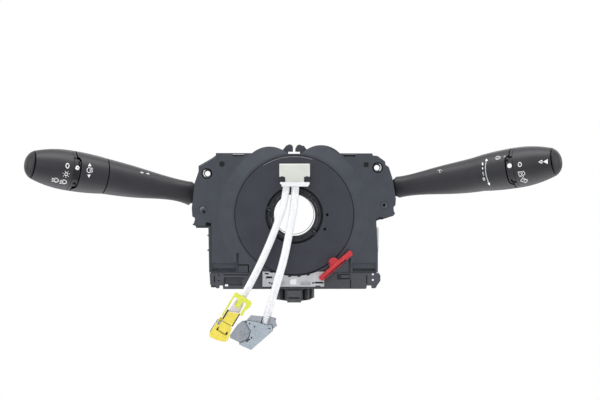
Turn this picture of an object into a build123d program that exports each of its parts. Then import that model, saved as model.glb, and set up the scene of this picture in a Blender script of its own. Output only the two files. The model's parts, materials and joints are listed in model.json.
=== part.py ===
"""Combination stalk switch for a steering column.

A flat module slides on the column tube and carries two stalks and a spiral-cable
rotor.  The origin lies on the steering axis in the rear mounting plane: +X is the
driver's right, +Z is up and the driver sits on the -Y side.
"""

import os
from collections import namedtuple
from math import atan2, cos, degrees, hypot, pi, radians, sin, tan

from build123d import *

# ------------------------------------------------------------------ driving dimensions, mm
# Depths are measured forward from the rear mounting plane, towards the driver.
FIT = 0.05  # radial clearance of a running or seated round fit
GAP = 0.3  # clearance between pieces that pass each other

# Housing
HOUSING_DEPTH = 30.0
HOUSING_WALL = 2.2
BACK_WALL = 2.5
COVER_THICK = 4.0
TRAY_THICK = 4.5
COVER_FRONT = HOUSING_DEPTH + COVER_THICK
SHROUD_HOLE_R = 2.25
SHROUD_BOSS_R = 4.2
SHROUD_HOLES = ((-73.6, 35.2), (70.1, 40.2))

# Steering column collar
COLUMN_R = 20.0
COLLAR_WALL = 4.5
COLLAR_REAR = 18.0
COLLAR_FRONT = 7.5
COLLAR_SLIT = 3.0
COLLAR_FLANGE_R = 30.0
COLLAR_FLANGE_THICK = 2.0
CLAMP_SCREW_R = 2.5
CLAMP_LUG = 9.0
CLAMP_LUG_WIDTH = 10.0
CLAMP_HEAD_R = 4.4
CLAMP_HEAD_THICK = 4.0

# Spiral cable cassette and rotor
HUB_R = 17.6
HUB_WALL = 3.4
HUB_REAR_DEPTH = HOUSING_DEPTH / 2 - 6.0
HUB_RIM_WIDTH = 1.6
HUB_RIM_THICK = 1.4
HUB_CLIP_ANGLES = (165, 318)
HUB_POCKETS = 10
GROOVE_WIDTH = 2.0
DISC_THICK = 2.7
DISC_GAP = 0.4
STATOR_R = 47.5
STATOR_WALL = 2.5
STATOR_BASE_DEPTH = HOUSING_DEPTH / 2
STATOR_BASE_THICK = 2.0
STATOR_FLANGE_WIDTH = 2.9
STATOR_FLANGE_THICK = 1.0
LOCK_RING_WIDTH = 3.2
CAM_THICK = 2.2
CAM_LOBE = 5.0
RIBBON_THICK = 0.5
RIBBON_TURNS = 4
DISC_R = STATOR_R + 3.1
BOSS_DEPTH = 3.0  # deeper part of the disc round the hub

# Cable guide on the rotor
GUIDE_WIDTH = 26.0
GUIDE_TOP = 43.6
GUIDE_BOTTOM = 32.3
GUIDE_THICK = 8.0
NECK_WIDTH = 16.0
NECK_BOTTOM = 28.0
FLANGE_BOTTOM = 24.2
FLANGE_OUTLINE = [
    (-12.0, NECK_BOTTOM), (13.0, NECK_BOTTOM), (13.0, 26.2), (11.6, FLANGE_BOTTOM),
    (-10.9, FLANGE_BOTTOM), (-10.9, 26.2), (-12.0, 26.2),
]
SLEEVE_CLEARANCE = 0.7

# Cable sleeves: free routes from the guide to the plugs, with depths ahead of the cover
AIRBAG_SLEEVE_D = 6.3
HORN_SLEEVE_D = 6.8
AIRBAG_ROUTE = [
    (-6.4, -COVER_FRONT - 9.0, 27.6),
    (-7.4, -COVER_FRONT - 9.6, 13.9),
    (-13.6, -COVER_FRONT - 13.8, -5.5),
    (-22.0, -COVER_FRONT - 17.8, -26.8),
    (-29.9, -COVER_FRONT - 20.0, -44.0),
    (-39.6, -COVER_FRONT - 20.6, -62.9),
    (-50.1, -COVER_FRONT - 20.6, -80.6),
]
HORN_ROUTE = [
    (1.0, -COVER_FRONT - 9.0, 27.6),
    (0.6, -COVER_FRONT - 9.6, 12.0),
    (-3.6, -COVER_FRONT - 14.3, -11.5),
    (-8.2, -COVER_FRONT - 18.3, -35.5),
    (-14.0, -COVER_FRONT - 21.2, -55.5),
    (-19.3, -COVER_FRONT - 22.0, -73.5),
    (-25.1, -COVER_FRONT - 22.0, -92.6),
]

# Plugs
PLUG_FRONT = COVER_FRONT + 27.5
PLUG_BACK = COVER_FRONT + 16.5
AIRBAG_TOP = (-43.4, -69.3)
AIRBAG_AXIS = (0.511, 0.860)
AIRBAG_LENGTH = 44.0
AIRBAG_BLOCK_TOP = 14.0
AIRBAG_BLOCK_SLANT = 3.8
AIRBAG_BLOCK_WIDTH = 9.0
AIRBAG_NOSE_TOP = 28.0
AIRBAG_NOSE_OUTLINE = [
    (-8.2, -28.0), (-8.6, -36.0), (-9.0, -41.0), (-8.2, -43.0), (-6.5, -44.0), (-0.3, -43.4),
    (5.5, -41.4), (7.8, -39.4), (7.5, -37.0), (5.6, -29.0), (5.6, -28.0),
]
AIRBAG_LOCK_TRAVEL = 3.0
AIRBAG_LOCK_BACK = COVER_FRONT + 24.6
AIRBAG_LOCK_BAR = 4.0
AIRBAG_RAIL = (-7.7, 7.7)  # outer sides of the lock
AIRBAG_RAIL_WIDTH = 1.6
AIRBAG_STUB = 1.2
AIRBAG_LONG_ARM = AIRBAG_NOSE_TOP - AIRBAG_STUB - AIRBAG_LOCK_TRAVEL - GAP
AIRBAG_SHORT_WIDTH = 2.4
AIRBAG_SHORT_ARM = 15.0
AIRBAG_TONGUE_WIDTH = 4.4
BOOT_TOP = 5.0
HORN_BASE_THICK = 1.6

# Stalks, both leaning up and towards the driver
STALK_TILT = 9.1
STALK_LEAN = 16.0
PIVOT_X = STATOR_R + 7.5
STALK_ROOT_DEPTH = HOUSING_DEPTH / 2 + 1.0
EYE_X = PIVOT_X + 13.0
STALK_ROOT_X = EYE_X + 20.0
EYE_R = 7.2
EYE_HALF = 6.3
EAR_THICK = 2.9
EAR_HALF_WIDTH = 5.5
PULL_PIN_R = 2.0
PIVOT_R = 3.0
CARRIER_HALF = 4.9
CARRIER_BACK = 3.2
CARRIER_FRONT = 26.0
NECK_HALF = 5.0
PLUNGER_R = 2.0
PLUNGER_DEPTH = 12.5
PLUNGER_BOSS = 16.0
TRACK_R = 21.3
TRACK_THICK = 2.5
TRACK_SWEEP = 42.0
SWITCH_CORE_R = 8.0
CORE_SOCKET = 18.0
FORM_START = 29.7  # how far before the barrel seam the turned handle begins
SEAM_GAP = 1.2
RING_GAP = 1.0
BARREL_GAP = 0.3
TAB_DEPTH = 3.3
TAB_TOP = 10.2
TAB_BOTTOM = 12.7
TAB_THICK = 2.6
TAB_CORNER = 2.4
BUTTON_GAP = 1.3
BUTTON_STEM_R = 5.0
SWITCH_R = 4.2
SWITCH_HEIGHT = 1.8
CORE_CUP = 27.0  # bottom of the button's guide, beyond the barrel seam
CORE_END = 33.0
HANDLE_END = 50.0  # clear of the tip of the cap

# Transport lock
LOCK_DEPTH = COVER_FRONT + DISC_GAP + 3.9
LOCK_THICK = 4.2
LOCK_WIDTH = 4.9
LOCK_ENDS = ((48.8, -31.5), (22.0, -54.8))
LOCK_HEAD = (33.4, -40.5)
LOCK_HEAD_R = 4.3
LOCK_PEG_R = 1.5

# Connectors
MAIN_CONNECTOR = (-15.4, 17.0)
MAIN_CONNECTOR_BACK = 8.0
MAIN_CONNECTOR_FRONT = HOUSING_DEPTH - 0.1
CONNECTOR_WALL = 1.6
PIN_SIZE = 1.0
PIN_PITCH = 3.2
SIDE_CONNECTOR = (-31.3, -10.4)
SIDE_CONNECTOR_BACK = 6.2
SIDE_CONNECTOR_FRONT = HOUSING_DEPTH - 6.2
SIDE_WALL_X = 69.8
SIDE_CONNECTOR_X = 71.7

# Worked out from the above
HUB_OUTER = HUB_R + HUB_WALL
DISC_BACK = COVER_FRONT + STATOR_FLANGE_THICK + GAP
DISC_FRONT = DISC_BACK + DISC_THICK
WELL_R = DISC_R + DISC_GAP
GUIDE_CENTRE = 0.3
GROOVE_R = HUB_OUTER + HUB_RIM_WIDTH + GROOVE_WIDTH
RIBBON_PITCH = (STATOR_R - STATOR_WALL - HUB_OUTER) / (RIBBON_TURNS + 0.8)
HOUSING_TOP = STATOR_R + 4.0
HOUSING_BOTTOM = -STATOR_R - 14.0
COVER_BOTTOM = HOUSING_BOTTOM + 12.5
MAIN_CONNECTOR_BOTTOM = HOUSING_BOTTOM - 12.9

# Lower edge, with heights above the housing's bottom
BRACKET = (-27.0, 25.4, 0.6, 13.4)
BRACKET_THICK = 3.5
FOOT_NOTCHES = ((-63.5, -60.7), (61.6, 65.4))
FOOT_NOTCH = 1.5
TRAY_WINDOW = (-57.6, 1.7)
TRAY_WINDOW_SIZE = (2.6, 1.6)
SIGHT_HOLES = ((66.8, 11.1), (66.8, 6.3))
SIGHT_HOLE_R = 0.8
KEY_TOP = -2.7
KEY_BOTTOM = -12.9
MOUTH_OUTLINE = [
    (-15.4, 1.0), (-15.4, -10.2), (-6.0, -11.6), (-6.0, -12.9), (5.8, -12.9), (5.8, -11.6),
    (13.0, -10.5), (17.0, -8.5), (17.0, 1.0),
]

Stalk = namedtuple("Stalk", "name side root_z pivot_z seam body_end sections neck_rise")
# sections: station along the axis, half height, half depth, rise of the centre
LEFT = Stalk(
    "left", -1, 21.3, 17.0, 107.0, 77.3,
    ((0, 10.1, 8.6, -3.0), (14, 9.4, 8.6, -1.8), (34, 11.3, 10.6, -1.3), (56, 13.8, 13.2, -0.8)),
    -1.2,
)
RIGHT = Stalk(
    "right", 1, 24.0, 20.8, 105.0, 104.4,
    ((0, 9.1, 8.2, -0.4), (16, 9.4, 8.6, -0.2), (36, 11.7, 11.0, -0.3), (58, 13.9, 13.4, -0.6)),
    0.0,
)


# ------------------------------------------------------------------ planes and helpers
def facing(depth):
    """A plane that faces the driver, this far in front of the mounting plane."""
    return Plane.XZ.offset(depth)


def lower(depth):
    """Face of the lower edge: x runs right and y is the height above the housing's bottom."""
    return Plane((0, -depth, HOUSING_BOTTOM), x_dir=(1, 0, 0), z_dir=(0, -1, 0))


def upper(depth):
    """Face of the upper edge: x runs right and y is the height above the housing's top."""
    return Plane((0, -depth, HOUSING_TOP), x_dir=(1, 0, 0), z_dir=(0, -1, 0))


def outward(stalk):
    """Unit vector along a stalk, from the housing to its tip."""
    tilt = radians(STALK_TILT)
    lean = radians(STALK_LEAN)
    return Vector(stalk.side * cos(tilt) * cos(lean), -sin(lean), sin(tilt) * cos(lean))


def driverward(stalk):
    """Unit vector square to the stalk, on the side that the driver sees."""
    along = outward(stalk)
    return (Vector(0, -1, 0) - along * sin(radians(STALK_LEAN))).normalized()


def station(stalk, distance):
    """A point on the stalk's axis."""
    root = Vector(stalk.side * STALK_ROOT_X, -STALK_ROOT_DEPTH, stalk.root_z)
    return root + outward(stalk) * distance


def stalk_axis(stalk):
    return Axis(station(stalk, 0), outward(stalk))


def axial(stalk):
    """A plane through the axis: x is the station and y the radius."""
    along = outward(stalk)
    return Plane(station(stalk, 0), x_dir=along, z_dir=along.cross(driverward(stalk)))


def across(stalk, distance):
    """A plane square to the axis: x is depth and y is up."""
    return Plane(
        station(stalk, distance), x_dir=driverward(stalk) * -stalk.side, z_dir=outward(stalk)
    )


def driver_side(stalk):
    """A plane through the axis that faces the driver: x is the station, y is up."""
    return Plane(station(stalk, 0), x_dir=outward(stalk) * stalk.side, z_dir=driverward(stalk))


def handle_slice(stalk, start, end, bore):
    """Half section of the turned handle between two stations, down to a bore radius."""
    seam = stalk.seam
    with BuildSketch(axial(stalk)) as section:
        with BuildLine():
            waist = ThreePointArc((seam - FORM_START, 15.2), (seam - 15, 16.7), (seam, 17.15))
            barrel = ThreePointArc(waist @ 1, (seam + 17, 16.2), (seam + 35, 11.9))
            tip = ThreePointArc(barrel @ 1, (seam + 39.6, 7.6), (seam + 41.3, 1.5))
            Polyline(tip @ 1, (seam + 41.3, 0), (seam - FORM_START, 0), waist @ 0)
        make_face()
        with Locations(((start + end) / 2, bore + 15)):
            Rectangle(end - start, 30, mode=Mode.INTERSECT)
    return section.sketch


def save(piece, name):
    """Label a finished piece and write its file."""
    piece.part.label = name
    export_step(piece.part, f"parts/{name}.step")


# ------------------------------------------------------------------ housing and cover
HOUSING_OUTLINE = [
    (-65.5, HOUSING_TOP), (65.5, HOUSING_TOP), (76.0, 44.5), (79.2, 40.0), (85.0, 14.0),
    (83.5, 0.5), (SIDE_WALL_X, -5.0), (SIDE_WALL_X, HOUSING_BOTTOM), (-70.8, HOUSING_BOTTOM),
    (-71.6, -11.0), (-83.5, -11.0), (-85.8, 6.0), (-80.3, 36.0), (-80.3, 41.0),
]
COVER_OUTLINE = [
    (-66.5, HOUSING_TOP + 1.2), (66.2, HOUSING_TOP + 0.9), (66.9, HOUSING_TOP - 0.9),
    (70.8, HOUSING_TOP - 1.3), (77.1, 45.6), (77.7, 42.6), (80.3, 40.9), (83.3, 31.7),
    (86.4, 13.9), (86.0, 8.4), (84.4, 6.8), (84.7, 3.0), (85.8, 1.4), (84.1, -0.8),
    (73.8, -4.1), (71.1, -2.5), (69.6, -3.4), (71.1, -31.5), (71.1, COVER_BOTTOM),
    (-72.4, COVER_BOTTOM), (-73.1, -9.7), (-84.2, -9.4), (-86.7, -8.1), (-85.3, -6.8),
    (-84.2, -2.7), (-86.7, -1.2), (-87.2, 6.0), (-84.7, 27.4), (-81.4, 37.0), (-81.4, 41.7),
    (-66.9, HOUSING_TOP - 1.3),
]
# heights above the housing's bottom
TRAY_OUTLINE = [
    (-72.1, 12.2), (72.0, 12.2), (73.2, 10.2), (73.2, 5.5), (70.8, 2.2), (68.9, -0.8),
    (65.6, -0.8), (65.4, FOOT_NOTCH), (61.6, FOOT_NOTCH), (61.2, -0.7), (60.8, -1.3),
    (-60.5, -1.5), (-60.7, FOOT_NOTCH), (-63.5, FOOT_NOTCH), (-63.8, -0.8), (-66.4, -0.8),
    (-67.0, 0.9), (-71.5, 2.2),
]
# Side openings for the stalks: middle x, middle z and height
STALK_OPENINGS = ((-84.0, 18.2, 31.0), (84.0, 25.6, 33.0))
COVER_SCREWS = ((-77.9, 4.5), (76.4, 8.3))
COVER_SCREW_R = 1.6
COVER_SCREW_HEAD_R = 3.0
BOARD_POSTS = ((-60.0, -20.0), (-60.0, -52.0), (50.0, -24.0), (50.0, -52.0))
BOARD_DEPTH = 5.0
BOARD_THICK = 1.6
BOARD_MIDDLE = (-4.0, HOUSING_BOTTOM + 26.0)
BOARD_SIZE = (120.0, 44.0)


def rear_housing():
    with BuildPart() as housing:
        with BuildSketch(facing(0)):
            with BuildLine():
                Polyline(*HOUSING_OUTLINE, close=True)
            make_face()
        extrude(amount=HOUSING_DEPTH)
        with BuildSketch(facing(BACK_WALL)):
            with BuildLine():
                Polyline(*HOUSING_OUTLINE, close=True)
            make_face()
            offset(amount=-HOUSING_WALL, kind=Kind.INTERSECTION)
        extrude(amount=HOUSING_DEPTH, mode=Mode.SUBTRACT)
        with BuildSketch(facing(BACK_WALL)):
            with Locations(*SHROUD_HOLES):
                Circle(SHROUD_BOSS_R)
            with Locations(*COVER_SCREWS):
                Circle(COVER_SCREW_R + 1.8)
        extrude(amount=HOUSING_DEPTH - BACK_WALL)
        with BuildSketch(facing(BACK_WALL)):
            with Locations(*BOARD_POSTS):
                Circle(2.4)
        extrude(amount=BOARD_DEPTH - BACK_WALL)
        with BuildSketch(facing(0)):
            Circle(COLUMN_R + COLLAR_WALL + FIT)
            with Locations(*SHROUD_HOLES):
                Circle(SHROUD_HOLE_R)
        extrude(amount=HOUSING_DEPTH, mode=Mode.SUBTRACT)
        with BuildSketch(facing(HOUSING_DEPTH - 14)):
            with Locations(*COVER_SCREWS):
                Circle(COVER_SCREW_R + FIT)
        extrude(amount=14, mode=Mode.SUBTRACT)
        for middle_x, middle_z, height in STALK_OPENINGS:
            with BuildSketch(facing(BACK_WALL + 2)):
                with Locations((middle_x, middle_z)):
                    Rectangle(12, height)
            extrude(amount=HOUSING_DEPTH, mode=Mode.SUBTRACT)
        # notches, cable window and sight holes that line up with those of the tray
        with BuildSketch(lower(0)):
            for left, right in FOOT_NOTCHES:
                with Locations(((left + right) / 2, 0)):
                    Rectangle(right - left, 2 * FOOT_NOTCH)
            with Locations(TRAY_WINDOW):
                Rectangle(*TRAY_WINDOW_SIZE)
            with Locations(*SIGHT_HOLES):
                Circle(SIGHT_HOLE_R)
        extrude(amount=HOUSING_DEPTH, mode=Mode.SUBTRACT)
        with BuildSketch(Plane.XY.offset(HOUSING_BOTTOM)):
            with Locations((sum(MAIN_CONNECTOR) / 2, -(MAIN_CONNECTOR_BACK + MAIN_CONNECTOR_FRONT) / 2)):
                Rectangle(24, 8)
        extrude(amount=HOUSING_WALL, mode=Mode.SUBTRACT)
        with BuildSketch(Plane.YZ.offset(SIDE_WALL_X - 10)):
            with Locations((-(SIDE_CONNECTOR_BACK + SIDE_CONNECTOR_FRONT) / 2, sum(SIDE_CONNECTOR) / 2)):
                Rectangle(
                    SIDE_CONNECTOR_FRONT - SIDE_CONNECTOR_BACK + GAP,
                    SIDE_CONNECTOR[1] - SIDE_CONNECTOR[0] + GAP,
                )
        extrude(amount=15, mode=Mode.SUBTRACT)
    save(housing, "rear_housing")


def cover_face():
    """Plan of the cover with its two lobes, on the housing's front face."""
    with BuildSketch(facing(HOUSING_DEPTH)) as face:
        with BuildLine():
            Polyline(*COVER_OUTLINE, close=True)
        make_face()
        for lobe_x, lobe_z, lobe_r in LOBES:
            with Locations((lobe_x, lobe_z)):
                Circle(lobe_r)
    return face.sketch


LOBES = ((-21.0, HOUSING_TOP - 16.0, 22.7), (22.7, HOUSING_TOP - 14.1, 22.0))
RAISED_BASE_R = DISC_R + 13.4
RAISED_TOP_R = DISC_R + 2.4
# heights above the housing's top
HOOK_HEAD_R = 2.85
HOOK_HEADS = ((-3.9, 5.7), (4.4, 5.5))
LEFT_HOOK = [(-10.5, 3.0), (-6.6, 7.9), (-1.1, 5.7), (-1.1, -0.4), (-10.5, -0.4)]
RIGHT_HOOK = [(0.85, -0.4), (0.85, 5.5), (8.0, 7.6), (10.5, 4.2), (10.5, -0.4)]
HOOK_SLOT = (-5.2, 4.8, 0.6, 2.2)  # left, right, bottom and top
HOOK_GAP = (-1.1, 0.85, 2.0, 12.0)
TOP_SLITS = ((-52.5, -42.8, -0.5, 0.3), (41.8, 52.0, -1.0, 0.1))


def front_cover():
    with BuildPart() as cover:
        extrude(cover_face(), amount=COVER_THICK)
        # two hooks that face each other across a T-shaped slot
        with BuildSketch(upper(HOUSING_DEPTH)):
            with BuildLine():
                Polyline(*LEFT_HOOK, close=True)
            make_face()
            with BuildLine():
                Polyline(*RIGHT_HOOK, close=True)
            make_face()
            with Locations(*HOOK_HEADS):
                Circle(HOOK_HEAD_R)
        extrude(amount=COVER_THICK)
        # raised surround of the disc, falling away to the plate
        with BuildPart(mode=Mode.PRIVATE) as surround:
            with BuildSketch(facing(HOUSING_DEPTH)):
                Circle(RAISED_BASE_R)
            with BuildSketch(facing(COVER_FRONT)):
                Circle(RAISED_BASE_R)
            loft()
            with BuildSketch(facing(COVER_FRONT)):
                Circle(RAISED_BASE_R)
            with BuildSketch(facing(DISC_FRONT - 0.2)):
                Circle(RAISED_TOP_R)
            loft()
            extrude(cover_face(), amount=20, mode=Mode.INTERSECT)
        add(surround.part)
        with BuildSketch(facing(COVER_FRONT)):
            Circle(WELL_R)
        extrude(amount=20, mode=Mode.SUBTRACT)
        with BuildSketch(facing(HOUSING_DEPTH)):
            Circle(STATOR_R + GAP)
            with Locations(*SHROUD_HOLES):
                Circle(SHROUD_HOLE_R)
            with Locations(*COVER_SCREWS):
                Circle(COVER_SCREW_R + FIT)
        extrude(amount=20, mode=Mode.SUBTRACT)
        # the bracket and its latch take the middle of the lower edge
        with BuildSketch(lower(HOUSING_DEPTH)):
            with Locations((0, 9.0)):
                Rectangle(56, 10)
        extrude(amount=20, mode=Mode.SUBTRACT)
        with BuildSketch(facing(COVER_FRONT - 2)):
            with Locations(*COVER_SCREWS):
                Circle(COVER_SCREW_HEAD_R + GAP)
        extrude(amount=10, mode=Mode.SUBTRACT)
        # the T slot, the slits along the top edge and the locating holes
        with BuildSketch(upper(HOUSING_DEPTH)):
            for left, right, bottom, top in (HOOK_SLOT, HOOK_GAP, *TOP_SLITS):
                with Locations(((left + right) / 2, (bottom + top) / 2)):
                    Rectangle(right - left, top - bottom)
        extrude(amount=20, mode=Mode.SUBTRACT)
        with BuildSketch(facing(HOUSING_DEPTH)):
            with Locations((-61.5, 43.4)):
                RegularPolygon(2.7, 5)
            with Locations((61.1, 42.7)):
                Rectangle(3.9, 3.9)
            with Locations(lock_middle()):
                Circle(LOCK_PEG_R + GAP)
        extrude(amount=20, mode=Mode.SUBTRACT)
        with BuildSketch(upper(COVER_FRONT - 1.0)):
            with Locations((-47.7, -1.1), (46.9, -1.6)):
                Rectangle(9.8, 1.1)
        extrude(amount=20, mode=Mode.SUBTRACT)
        # slots and stepped bands of the lower corners, shallow first
        with BuildSketch(lower(COVER_FRONT - 0.9)):
            with Locations((-48.2, 21.4)):
                SlotOverall(15.7, 1.8, rotation=90)
            with Locations((47.0, 19.0)):
                SlotOverall(12.2, 1.8, rotation=90)
            with Locations((-59.8, 16.9)):
                Rectangle(20.2, 7.2)
            with Locations((59.4, 17.2)):
                Rectangle(19.6, 7.3)
        extrude(amount=20, mode=Mode.SUBTRACT)
        with BuildSketch(lower(COVER_FRONT - 3.0)):
            with Locations((-59.6, 14.8)):
                Rectangle(20.0, 3.0)
            with Locations((59.2, 14.8)):
                Rectangle(19.2, 2.6)
            with Locations((-43.4, 19.0)):
                Rectangle(9.0, 0.9)
            with Locations((-38.9, 15.4)):
                Rectangle(0.9, 7.4)
        extrude(amount=20, mode=Mode.SUBTRACT)
        # groove beside the left edge
        with BuildSketch(facing(COVER_FRONT - 1.0)):
            with Locations((-70.8, -29.0)):
                Rectangle(0.8, 38.0)
        extrude(amount=20, mode=Mode.SUBTRACT)
        # small barbs on the left edge
        with BuildSketch(facing(HOUSING_DEPTH)):
            for barb_z in (-17.4, -30.0):
                with BuildLine():
                    Polyline(
                        (-72.6, barb_z + 1.2),
                        (-74.4, barb_z),
                        (-72.6, barb_z - 0.8),
                        (-71.6, barb_z),
                        close=True,
                    )
                make_face()
        extrude(amount=COVER_THICK)
    save(cover, "front_cover")


def connector_tray():
    with BuildPart() as tray:
        with BuildSketch(lower(HOUSING_DEPTH)):
            with BuildLine():
                Polyline(*TRAY_OUTLINE, close=True)
            make_face()
        extrude(amount=TRAY_THICK)
        # cable window and sight holes
        with BuildSketch(lower(HOUSING_DEPTH)):
            with Locations(TRAY_WINDOW):
                Rectangle(*TRAY_WINDOW_SIZE)
            with Locations(*SIGHT_HOLES):
                Circle(SIGHT_HOLE_R)
        extrude(amount=20, mode=Mode.SUBTRACT)
        # sunk pocket, the outline of the latch tongue and the parting lines
        with BuildSketch(lower(HOUSING_DEPTH + TRAY_THICK - 3.0)):
            with Locations((-52.1, 5.0)):
                Rectangle(15.6, 7.0)
            with Locations((-67.9, 7.0)):
                Rectangle(1.0, 5.0)
            with Locations((-49.5, 10.6)):
                Rectangle(21.0, 0.8)
            with Locations((42.0, 9.1)):
                Rectangle(11.2, 4.4)
            with Locations((43.4, 9.2)):
                Rectangle(7.4, 2.7, mode=Mode.SUBTRACT)
            with Locations((61.6, 6.6)):
                Rectangle(0.9, 7.2)
            with Locations((47.7, 2.9)):
                Rectangle(0.9, 7.0)
            with Locations((-64.3, 10.5), (-64.3, 5.6), (-43.0, 7.5)):
                Circle(0.6)
        extrude(amount=20, mode=Mode.SUBTRACT)
        with BuildSketch(facing(HOUSING_DEPTH)):
            Circle(STATOR_R + GAP)
        extrude(amount=20, mode=Mode.SUBTRACT)
        with BuildSketch(facing(COVER_FRONT)):
            Circle(WELL_R)
        extrude(amount=20, mode=Mode.SUBTRACT)
    save(tray, "connector_tray")


def latch_bracket():
    left, right, bottom, top = BRACKET
    face = HOUSING_DEPTH + TRAY_THICK
    with BuildPart() as bracket:
        with BuildSketch(lower(face)):
            with Locations(((left + right) / 2, (top + bottom) / 2)):
                Rectangle(right - left, top - bottom)
            with Locations((-21.2, 8.5)):
                Rectangle(4.9, 1.7, mode=Mode.SUBTRACT)
            with Locations((21.0, 4.0)):
                Rectangle(7.6, 1.5, mode=Mode.SUBTRACT)
            with Locations((20.0, bottom)):
                Rectangle(4.2, 1.8, mode=Mode.SUBTRACT)
        extrude(amount=BRACKET_THICK)
        with BuildSketch(facing(face)):
            Circle(WELL_R + 0.9)
            with PolarLocations(WELL_R + 0.9, 5, start_angle=-112, angular_range=44):
                Rectangle(2.0, 2.6)
        extrude(amount=BRACKET_THICK, mode=Mode.SUBTRACT)
        with BuildSketch(lower(face + BRACKET_THICK - 1.2)):
            with Locations((-12.5, 3.6), (9.5, 3.6)):
                Rectangle(8.0, 3.4)
            with Locations((-18.6, 3.0)):
                Rectangle(3.0, 1.4)
        extrude(amount=5, mode=Mode.SUBTRACT)
        with BuildSketch(lower(face + BRACKET_THICK)):
            with Locations((-0.7, 4.6)):
                Rectangle(6.2, 5.9)
        extrude(amount=1.2)
    save(bracket, "latch_bracket")


def cover_screws():
    with BuildPart() as screws:
        with BuildSketch(facing(HOUSING_DEPTH - 12)):
            with Locations(*COVER_SCREWS):
                Circle(COVER_SCREW_R)
        extrude(amount=COVER_THICK - 2 + 12)
        with BuildSketch(facing(COVER_FRONT - 2)):
            with Locations(*COVER_SCREWS):
                Circle(COVER_SCREW_HEAD_R)
        extrude(amount=1.8)
        with BuildSketch(facing(COVER_FRONT - 1)):
            with Locations(*COVER_SCREWS):
                RegularPolygon(1.4, 6)
        extrude(amount=2, mode=Mode.SUBTRACT)
    save(screws, "cover_screws")


# ------------------------------------------------------------------ column collar
def column_collar():
    outer = COLUMN_R + COLLAR_WALL
    length = COLLAR_REAR + COLLAR_FRONT
    lug_z = -(outer + CLAMP_LUG / 2 - 1)
    with BuildPart() as collar:
        with BuildSketch(facing(-COLLAR_REAR)):
            Circle(outer)
        extrude(amount=length)
        with BuildSketch(facing(-COLLAR_FLANGE_THICK)):
            Circle(COLLAR_FLANGE_R)
        extrude(amount=COLLAR_FLANGE_THICK)
        with BuildSketch(facing(-COLLAR_REAR)):
            with Locations((0, lug_z)):
                Rectangle(2 * CLAMP_LUG_WIDTH, CLAMP_LUG)
        extrude(amount=COLLAR_REAR - 5)
        with BuildSketch(facing(-COLLAR_REAR)):
            Circle(COLUMN_R)
        extrude(amount=length, mode=Mode.SUBTRACT)
        with BuildSketch(facing(-COLLAR_REAR)):
            with Locations((0, -outer)):
                Rectangle(COLLAR_SLIT, 2 * CLAMP_LUG + 6)
        extrude(amount=COLLAR_REAR - 4, mode=Mode.SUBTRACT)
        with BuildSketch(Plane.YZ.offset(-CLAMP_LUG_WIDTH)):
            with Locations(clamp_axis()):
                Circle(CLAMP_SCREW_R + FIT)
        extrude(amount=2 * CLAMP_LUG_WIDTH, mode=Mode.SUBTRACT)
    save(collar, "column_collar")


def clamp_axis():
    """Where the clamp screw crosses the slit, in (y, z)."""
    return ((COLLAR_REAR + 5) / 2, -(COLUMN_R + COLLAR_WALL + CLAMP_LUG / 2 - 0.5))


def clamp_screw():
    with BuildPart() as screw:
        with BuildSketch(Plane.YZ.offset(-CLAMP_LUG_WIDTH)):
            with Locations(clamp_axis()):
                Circle(CLAMP_SCREW_R)
        extrude(amount=2 * CLAMP_LUG_WIDTH + 6)
        with BuildSketch(Plane.YZ.offset(-CLAMP_LUG_WIDTH - CLAMP_HEAD_THICK)):
            with Locations(clamp_axis()):
                Circle(CLAMP_HEAD_R)
        extrude(amount=CLAMP_HEAD_THICK)
        with BuildSketch(Plane.YZ.offset(-CLAMP_LUG_WIDTH - CLAMP_HEAD_THICK)):
            with Locations(clamp_axis()):
                RegularPolygon(2.4, 6)
        extrude(amount=2.5, mode=Mode.SUBTRACT)
    save(screw, "clamp_screw")


def clamp_nut():
    with BuildPart() as nut:
        with BuildSketch(Plane.YZ.offset(CLAMP_LUG_WIDTH)):
            with Locations(clamp_axis()):
                RegularPolygon(4.6, 6)
                Circle(CLAMP_SCREW_R + FIT, mode=Mode.SUBTRACT)
        extrude(amount=CLAMP_HEAD_THICK)
    save(nut, "clamp_nut")


# ------------------------------------------------------------------ electrics
def circuit_board():
    width, height = BOARD_SIZE
    with BuildPart() as board:
        with BuildSketch(facing(BOARD_DEPTH)):
            with Locations(BOARD_MIDDLE):
                Rectangle(width, height)
            Circle(COLUMN_R + COLLAR_WALL + 4, mode=Mode.SUBTRACT)
        extrude(amount=BOARD_THICK)
    save(board, "circuit_board")


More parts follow.
